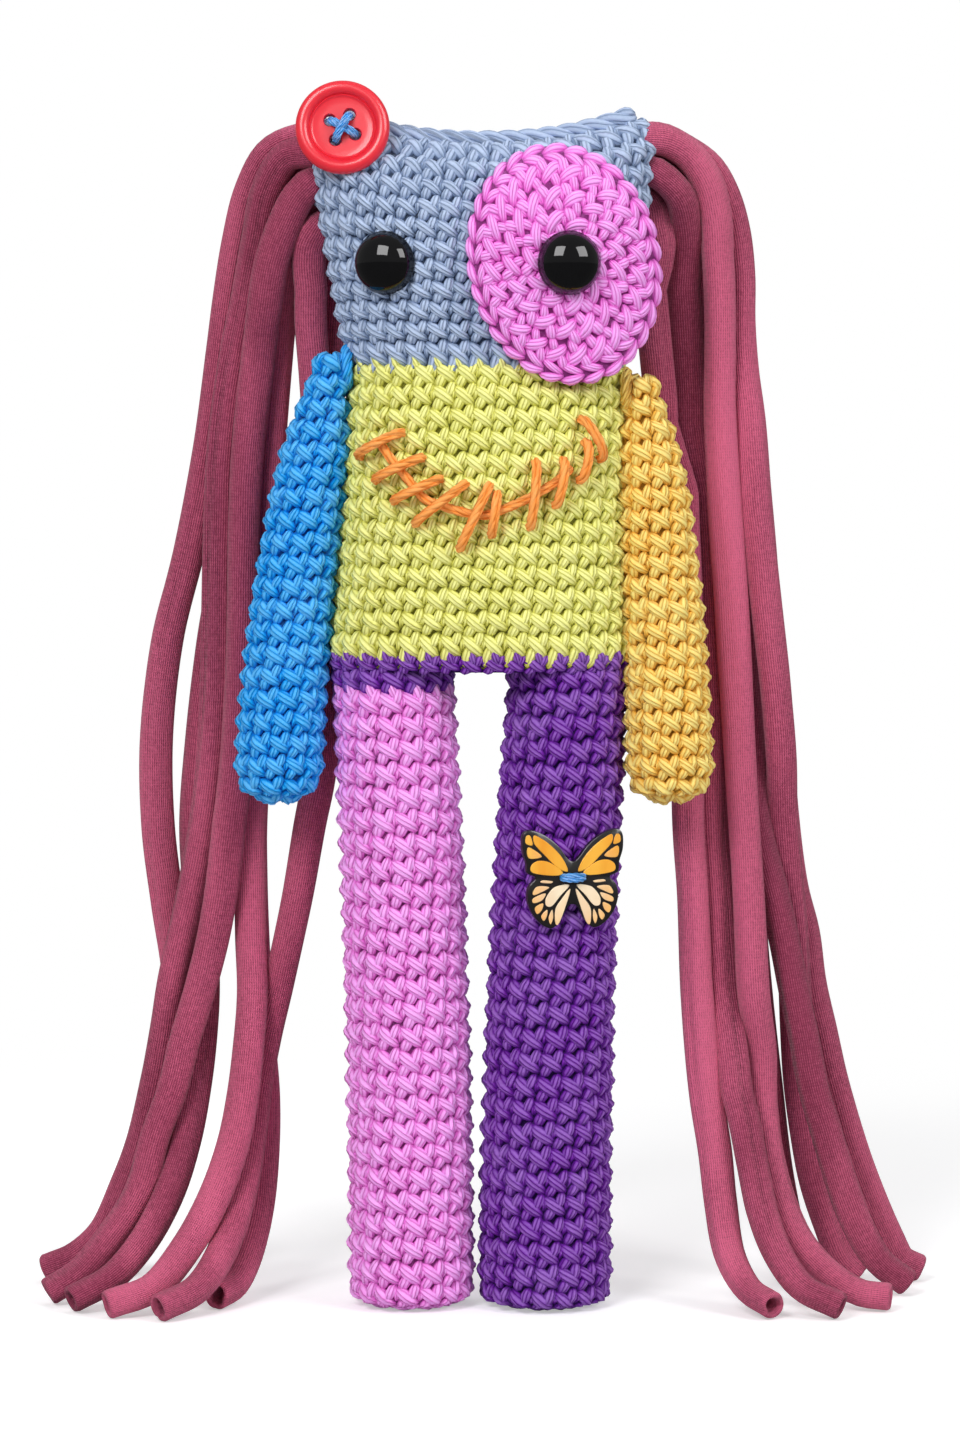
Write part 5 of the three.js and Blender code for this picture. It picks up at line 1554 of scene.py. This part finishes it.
class DOLL_OT_limbs(bpy.types.Operator):
    """Works the legs and the arms in rounds, from their closed ends up."""

    bl_idname = "doll.limbs"
    bl_label = "Legs and arms"
    bl_options = {"REGISTER", "UNDO"}

    def execute(self, context):
        making = context.scene.doll_making
        for number, (name, (hip_x, foot_x, foot_width)) in enumerate(LEGS.items()):
            skin = leg_skin(hip_x, foot_x, foot_width)
            rounds = even_rounds(skin)
            materials, swap = [yarn_of(name)], None
            if name == "pink":
                materials.append(yarn_of("purple"))
                swap = skin.end - 0.5
            leg = cover_object(
                name + "_leg", skin, rounds, materials, seed=making.seed + 10 + number, swap=swap,
                sole=SOLE_HEIGHT, **worked(making),
            )
            if swap:
                leg.data = joined(leg, points_of(
                    "pink_points", skin, [rounds[-2]], materials, making.unevenness, making.seed + 41,
                    drift=DRIFT * rounds[-1] / rounds[-2],
                ))
            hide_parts(name + "_leg_cover", name + "_leg_stuffing")
            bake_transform(leg)
        for number, (name, shape) in enumerate(ARMS.items()):
            skin = arm_skin(*shape)
            arm = cover_object(
                name + "_arm", skin, even_rounds(skin), [yarn_of(name)], seed=making.seed + 20 + number,
                **worked(making),
            )
            finish_cover(arm, name + "_arm", name + "_arm_cover", name + "_arm_stuffing", slot=name + "_yarn")
        return {"FINISHED"}


class DOLL_OT_patch(bpy.types.Operator):
    """Works the eye patch as a flat oval in rounds, with a chain round its edge."""

    bl_idname = "doll.patch"
    bl_label = "Eye patch"
    bl_options = {"REGISTER", "UNDO"}

    def execute(self, context):
        making = context.scene.doll_making
        skin = patch_skin()
        last = skin.end / PATCH_REACH_SHARE
        rounds = list(np.arange(1, PATCH_ROUNDS + 1) + (last - PATCH_ROUNDS - PATCH_BORDER))
        common = {"unevenness": making.unevenness, "scallop": PATCH_SCALLOP, "drift": PATCH_DRIFT}
        patch = cover_object("patch", skin, rounds, [yarn_of("patch")], seed=making.seed + 30, **common)
        edge = cover_object(
            "patch_edge", skin, [last + CHAIN_OVER], [yarn_of("patch")], seed=making.seed + 31, shape="chain",
            lobes=CHAIN_LOBES, shell=False, **common,
        )
        patch.data = joined(patch, edge)
        finish_cover(patch, "body", "eye_patch", slot="patch_yarn")
        return {"FINISHED"}


def eye_plastic():
    """Black moulded plastic with the faintest haze."""
    g = Graph(bpy.data.materials.new("eye_plastic"))
    haze = g.noise(300, 2)
    return g.surface(
        Base_Color=g.mix(haze, (0.001, 0.001, 0.0015), (0.003, 0.003, 0.0035)),
        Roughness=haze * 0.02 + 0.035,
        Specular_IOR_Level=0.4,
    )


def eye_profile(diameter):
    """Half an eye's outline, from the end of its shank over its rim to the top of its dome."""
    radius, end = diameter / 2, -SHANK_LENGTH
    inward, upward = SHANK_CHAMFER
    shank = [(0, end), (SHANK_RADIUS - inward, end), (SHANK_RADIUS, end + upward)]
    rim = [(SHANK_RADIUS, EYE_RIM_POINTS[0][1])]
    rim += [(radius + beyond, height) for beyond, height in EYE_RIM_POINTS]
    dome = [
        (radius * math.sin(a), mix(EYE_RIM, EYE_HEIGHT, math.cos(a))) for a in np.linspace(1.5, 0.03, 26)
    ]
    return shank + rim + dome + [(0, EYE_HEIGHT)]


class DOLL_OT_eyes(bpy.types.Operator):
    """Moulds the two safety eyes with their shanks."""

    bl_idname = "doll.eyes"
    bl_label = "Eyes"
    bl_options = {"REGISTER", "UNDO"}

    def execute(self, context):
        black = eye_plastic()
        profile = eye_profile(in_mm(context.scene.doll_making.eye))
        for side, x, overhang in (("left", LEFT_EYE_X, 0.0), ("right", RIGHT_EYE_X, PATCH_OVERHANG)):
            place, out = front_seat(x, NECK_Z + EYE_RISE, overhang)
            lift = 2 * CLEAR + (overhang > 0) * (PATCH_THICKNESS + 2 * CLEAR) * abs(out[1])
            right = np.cross((0, 0, 1), out)
            right /= np.linalg.norm(right)
            points, faces = turned(profile, 72)
            points = seated(points, place + out * lift, right, np.cross(out, right), out)
            eye = new_object(side + "_eye_dome", points, faces, [black], "body")
            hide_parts(side + "_eye")
        return {"FINISHED"}


def facing(tilt, yaw):
    """Directions right, up and out of a piece that faces the front but for a tilt and a yaw, in degrees."""
    yaw = math.radians(yaw)
    lean, tilt = math.sin(math.radians(tilt)), math.cos(math.radians(tilt))
    level, rise = np.array([math.sin(yaw), -math.cos(yaw), 0]), np.array([0, 0, 1.0])
    right = np.array([math.cos(yaw), math.sin(yaw), 0])
    return right, rise * tilt - level * lean, level * tilt + rise * lean


def thread_over(p, q, aside, rows):
    """Route of a thread between two holes: rows of (share of the way, share of aside, height)."""
    across = np.cross(q - p, (0, 0, 1))
    across = across / np.linalg.norm(across) * aside
    return [mix(p, q, way) + across * share + (0, 0, height) for way, share, height in rows]


class DOLL_OT_button(bpy.types.Operator):
    """Turns the red four-hole button and sews it on with a cross of thread."""

    bl_idname = "doll.button"
    bl_label = "Red button"
    bl_options = {"REGISTER", "UNDO"}

    def execute(self, context):
        axes = facing(BUTTON_TILT, 0)
        centre = middle_of("red_button") - axes[2] * (BUTTON_THICKNESS / 2) + BUTTON_SHIFT
        edge, back, front, floor = BUTTON_RADIUS, BUTTON_BACK_ROUND, BUTTON_FRONT_ROUND, BUTTON_FLOOR
        profile = [(0, 0), (edge - back, 0)] + arc((edge - back, back), back, -70, 0, 6)
        profile += arc((edge - front, BUTTON_THICKNESS - front), front, 0, 165, 14)
        profile += [(edge - inset, floor + rise) for inset, rise in BUTTON_WELL]
        points, faces = turned(profile, 96)
        plastic = moulded("button_plastic", rgb(232, 36, 54), 0.34, 0.12, 0.25)
        button = new_object("button", seated(points, centre, *axes), faces, [plastic], "body")
        angles = [math.radians(BUTTON_TURN + 90 * k) for k in range(4)]
        corners = [np.array([BUTTON_HOLES * math.cos(a), BUTTON_HOLES * math.sin(a), 0]) for a in angles]
        flare = [(BUTTON_HOLE_RADIUS + beyond, floor + rise) for beyond, rise in BUTTON_FLARE]
        bore = [(0, -DRILL_OVER), (BUTTON_HOLE_RADIUS, -DRILL_OVER), *flare, (0, flare[-1][1])]
        hole, hole_faces = turned(bore, 28)
        drilled(button, [(seated(hole + corner, centre, *axes), hole_faces) for corner in corners])
        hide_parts("red_button")
        paths = []
        for number, height in enumerate(CROSS_HEIGHTS):
            low, high = floor + height * 0.75, floor + height
            rows = [
                (0, 0, 0.2), (0, 0.6, floor - 0.2), (0.16, 1, low), (0.5, 1, high), (0.84, 1, low),
                (1, 0.6, floor - 0.2), (1, 0, 0.2),
            ]
            for aside in (-CROSS_ASIDE, CROSS_ASIDE):
                route = thread_over(corners[number], corners[number + 2], aside, rows)
                paths.append(seated(route, centre, *axes))
        twisted(
            "button_cross", paths, CROSS_YARN, thread_yarn(), "body", "button_thread",
            pitch=4.5, step=0.3,
        )
        return {"FINISHED"}


def cell_paint():
    """Brushed paint of the butterfly's cells: orange, and cream where the tone is 1."""
    g = Graph(bpy.data.materials.new("painted_cells"))
    brush = g.noise(160, 3, (1, 1, 0.25))
    stroke = (brush * 1.6 - 0.3).clamp()
    orange = g.mix(stroke, rgb(240, 148, 16), rgb(255, 196, 62))
    pale = g.mix(stroke, rgb(243, 214, 176), rgb(255, 238, 206))
    return g.surface(
        Base_Color=g.mix(g.attribute("tone")[1].clamp(), orange, pale),
        Roughness=brush * 0.25 + 0.3,
        Coat_Weight=0.3,
        Coat_Roughness=0.15,
        Normal=g.bump(brush, 0.0001, 0.4),
    )


def butterfly_cells():
    """Raised cells of both wings: their points, faces and tones, which turn orange towards the tips."""
    half, tall, top = BUTTERFLY_HALF, BUTTERFLY_HEIGHT, BUTTERFLY_THICKNESS
    points, faces, tones = [], [], []
    for paleness, cell in BUTTERFLY_CELLS:
        for side in (1, -1):
            ring = closed_outline(np.array(cell) * [half * side, tall], 5)
            cell_points, cell_faces = plate(ring, [(inset, top + rise) for inset, rise in CELL_EDGE])
            base = sum(len(done) for done in points)
            faces += [[base + k for k in face] for face in cell_faces]
            points.append(cell_points)
            outward = np.hypot(cell_points[:, 0] / half, cell_points[:, 1] / tall * 1.6)
            tones.append(paleness * (1 - np.clip((outward - 0.62) * 2.2, 0, 0.75)))
    return np.vstack(points), faces, np.concatenate(tones)


class DOLL_OT_butterfly(bpy.types.Operator):
    """Cuts and paints the butterfly button and sews it on with a bar of thread."""

    bl_idname = "doll.butterfly"
    bl_label = "Butterfly button"
    bl_options = {"REGISTER", "UNDO"}

    def execute(self, context):
        right, up, out = axes = facing(0, BUTTERFLY_YAW)
        top = BUTTERFLY_THICKNESS
        outline = np.array(BUTTERFLY_OUTLINE) * [BUTTERFLY_HALF, BUTTERFLY_HEIGHT]
        middle = (outline[:, 1].max() + outline[:, 1].min()) / 2
        across, rise, ahead = BUTTERFLY_SHIFT
        centre = middle_of("butterfly_button") + right * across
        centre = centre + up * (rise - middle) + out * (ahead - top / 2)
        whole = closed_outline(np.vstack([outline, outline[1:-1][::-1] * [-1, 1]]), 5)
        levels = [(BUTTERFLY_CHAMFER, 0), (0, BUTTERFLY_CHAMFER)]
        shape, faces = plate(whole, levels + [(inset, top + height) for inset, height in BUTTERFLY_EDGE])
        materials = [moulded("black_paint", rgb(24, 21, 20), 0.3, 0.2, 0.3), cell_paint()]
        butterfly = new_object(
            "butterfly", seated(shape, centre, *axes), faces, materials, "purple_leg",
            tone=np.zeros(len(shape)), slots=[0] * len(faces),
        )
        low, high = -DRILL_OVER, top + DRILL_OVER
        bore = [(0, low), (BUTTERFLY_HOLE_RADIUS, low), (BUTTERFLY_HOLE_RADIUS, high), (0, high)]
        hole, hole_faces = turned(bore, 20)
        ends = [np.array([x, 0, 0]) for x in (-BUTTERFLY_HOLES, BUTTERFLY_HOLES)]
        drilled(butterfly, [(seated(hole + end, centre, *axes), hole_faces) for end in ends])
        points, faces, tones = butterfly_cells()
        cells = new_object(
            "butterfly_cells", seated(points, centre, *axes), faces, materials, "purple_leg",
            tone=tones, slots=[1] * len(faces),
        )
        butterfly.data = joined(butterfly, cells)
        butterfly.data.set_sharp_from_angle(angle=math.radians(35))
        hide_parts("butterfly_button")
        rows = [
            (0, 0, 0.3), (-0.02, 0.7, top + 0.3), (0.18, 1, top + 1.05), (0.5, 1.2, top + 1.2),
            (0.82, 1, top + 1.05), (1.02, 0.7, top + 0.3), (1, 0, 0.3),
        ]
        asides = (BAR_ASIDE, -BAR_ASIDE)
        paths = [seated(thread_over(*ends, aside, rows), centre, *axes) for aside in asides]
        twisted(
            "butterfly_bar", paths, BAR_YARN, thread_yarn(), "purple_leg", "butterfly_thread",
            pitch=5.0, step=0.3,
        )
        return {"FINISHED"}


class DOLL_OT_mouth(bpy.types.Operator):
    """Embroiders the mouth: its long line and the stitches across it."""

    bl_idname = "doll.mouth"
    bl_label = "Mouth"
    bl_options = {"REGISTER", "UNDO"}

    def execute(self, context):
        colour = tuple(context.scene.doll_colours.mouth)
        thick = in_mm(context.scene.doll_making.mouth_yarn)
        # A paler, warmer colour for painted highlights and paler flecks, and a darker one for painted shade
        highlight_and_fleck = toward(tinted(colour, 1.3), (1, 0.8, 0.5), 0.2)
        orange = yarn("mouth_plies", tinted(colour, 0.4), tinted(colour, 1.1), highlight_and_fleck, plies=2)

        def place(spot, lift):
            seat, out = front_seat(spot[0] * TRUNK_WIDTH / 2, mix(TRUNK_Z, NECK_Z, spot[1]))
            return seat + out * (thick / 2 + CLEAR + 0.5 + lift)

        line = [place(spot, 0.2) for spot in MOUTH_LINE]
        twisted(
            "mouth_strand", [line], thick, orange, "body", "mouth_line",
            plies=4, pitch=13.0, step=0.6,
        )
        for number, (p, q) in enumerate(np.array(MOUTH_STITCHES), 1):
            route = []
            for t in (0.0, 0.08, 0.25, 0.5, 0.75, 0.92, 1.0):
                lift = STITCH_ARCH * math.sin(math.pi * t) ** 0.6 - STITCH_DIVE * (t in (0.0, 1.0))
                route.append(place(mix(p, q, t), lift))
            twisted(
                f"mouth_cross_{number}", [route], thick * 1.05, orange, "body",
                f"mouth_stitch_{number}", plies=4, pitch=12.0, step=0.6,
            )
        return {"FINISHED"}


class DOLL_OT_seams(bpy.types.Operator):
    """Sews the arms on, each with a ring of its own yarn."""

    bl_idname = "doll.seams"
    bl_label = "Arm seams"
    bl_options = {"REGISTER", "UNDO"}

    def execute(self, context):
        for name in ARMS:
            middle = middle_of(name + "_arm_seam")
            turns = np.linspace(0, TURN, 25)
            ring = [middle + (0, SEAM_RADIUS * math.cos(a), SEAM_RADIUS * math.sin(a)) for a in turns]
            twisted(
                name + "_seam", [ring], SEAM_YARN, yarn_of(name), name + "_shoulder",
                name + "_arm_seam", pitch=8.0, step=0.6,
            )
        return {"FINISHED"}


def filling():
    """White fibre, tufted."""
    g = Graph(bpy.data.materials.new("fibre_filling"))
    tuft = g.noise(120, 4)
    colour = g.mix(tuft, rgb(214, 212, 204), rgb(244, 243, 238))
    return g.surface(Base_Color=colour, Roughness=0.95, Normal=g.bump(tuft, 0.002))


class DOLL_OT_inside(bpy.types.Operator):
    """Gives the stuffing and the washers inside the doll their materials."""

    bl_idname = "doll.inside"
    bl_label = "Inside"
    bl_options = {"REGISTER", "UNDO"}

    def execute(self, context):
        fibre = filling()
        plastic = moulded("washer_plastic", rgb(236, 236, 230), 0.4)
        for name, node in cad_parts.items():
            for ending, material in (("_stuffing", fibre), ("_washer", plastic)):
                if name.endswith(ending) and getattr(node, "data", None):
                    node.data.materials.clear()
                    node.data.materials.append(material)
        return {"FINISHED"}


OPERATORS = (
    DOLL_OT_camera,
    DOLL_OT_stage,
    DOLL_OT_pigtails,
    DOLL_OT_body,
    DOLL_OT_limbs,
    DOLL_OT_patch,
    DOLL_OT_eyes,
    DOLL_OT_button,
    DOLL_OT_butterfly,
    DOLL_OT_mouth,
    DOLL_OT_seams,
    DOLL_OT_inside,
)


class DOLL_PT_panel(bpy.types.Panel):
    """The doll's steps, sizes and colours in the sidebar."""

    bl_idname = "DOLL_PT_panel"
    bl_label = "Amigurumi doll"
    bl_space_type = "VIEW_3D"
    bl_region_type = "UI"
    bl_category = "Doll"

    def draw(self, context):
        for kind in OPERATORS:
            self.layout.operator(kind.bl_idname)
        for name in DollMaking.__annotations__:
            self.layout.prop(context.scene.doll_making, name)
        for name in DollColours.__annotations__:
            self.layout.prop(context.scene.doll_colours, name)


CLASSES = (DollColours, DollMaking, *OPERATORS, DOLL_PT_panel)


def register():
    for kind in CLASSES:
        bpy.utils.register_class(kind)
    bpy.types.Scene.doll_colours = PointerProperty(type=DollColours)
    bpy.types.Scene.doll_making = PointerProperty(type=DollMaking)


def unregister():
    del bpy.types.Scene.doll_making
    del bpy.types.Scene.doll_colours
    for kind in reversed(CLASSES):
        bpy.utils.unregister_class(kind)


def main():
    register()
    for kind in OPERATORS:
        prefix, name = kind.bl_idname.split(".")
        getattr(getattr(bpy.ops, prefix), name)()


if __name__ == "__main__":
    main()
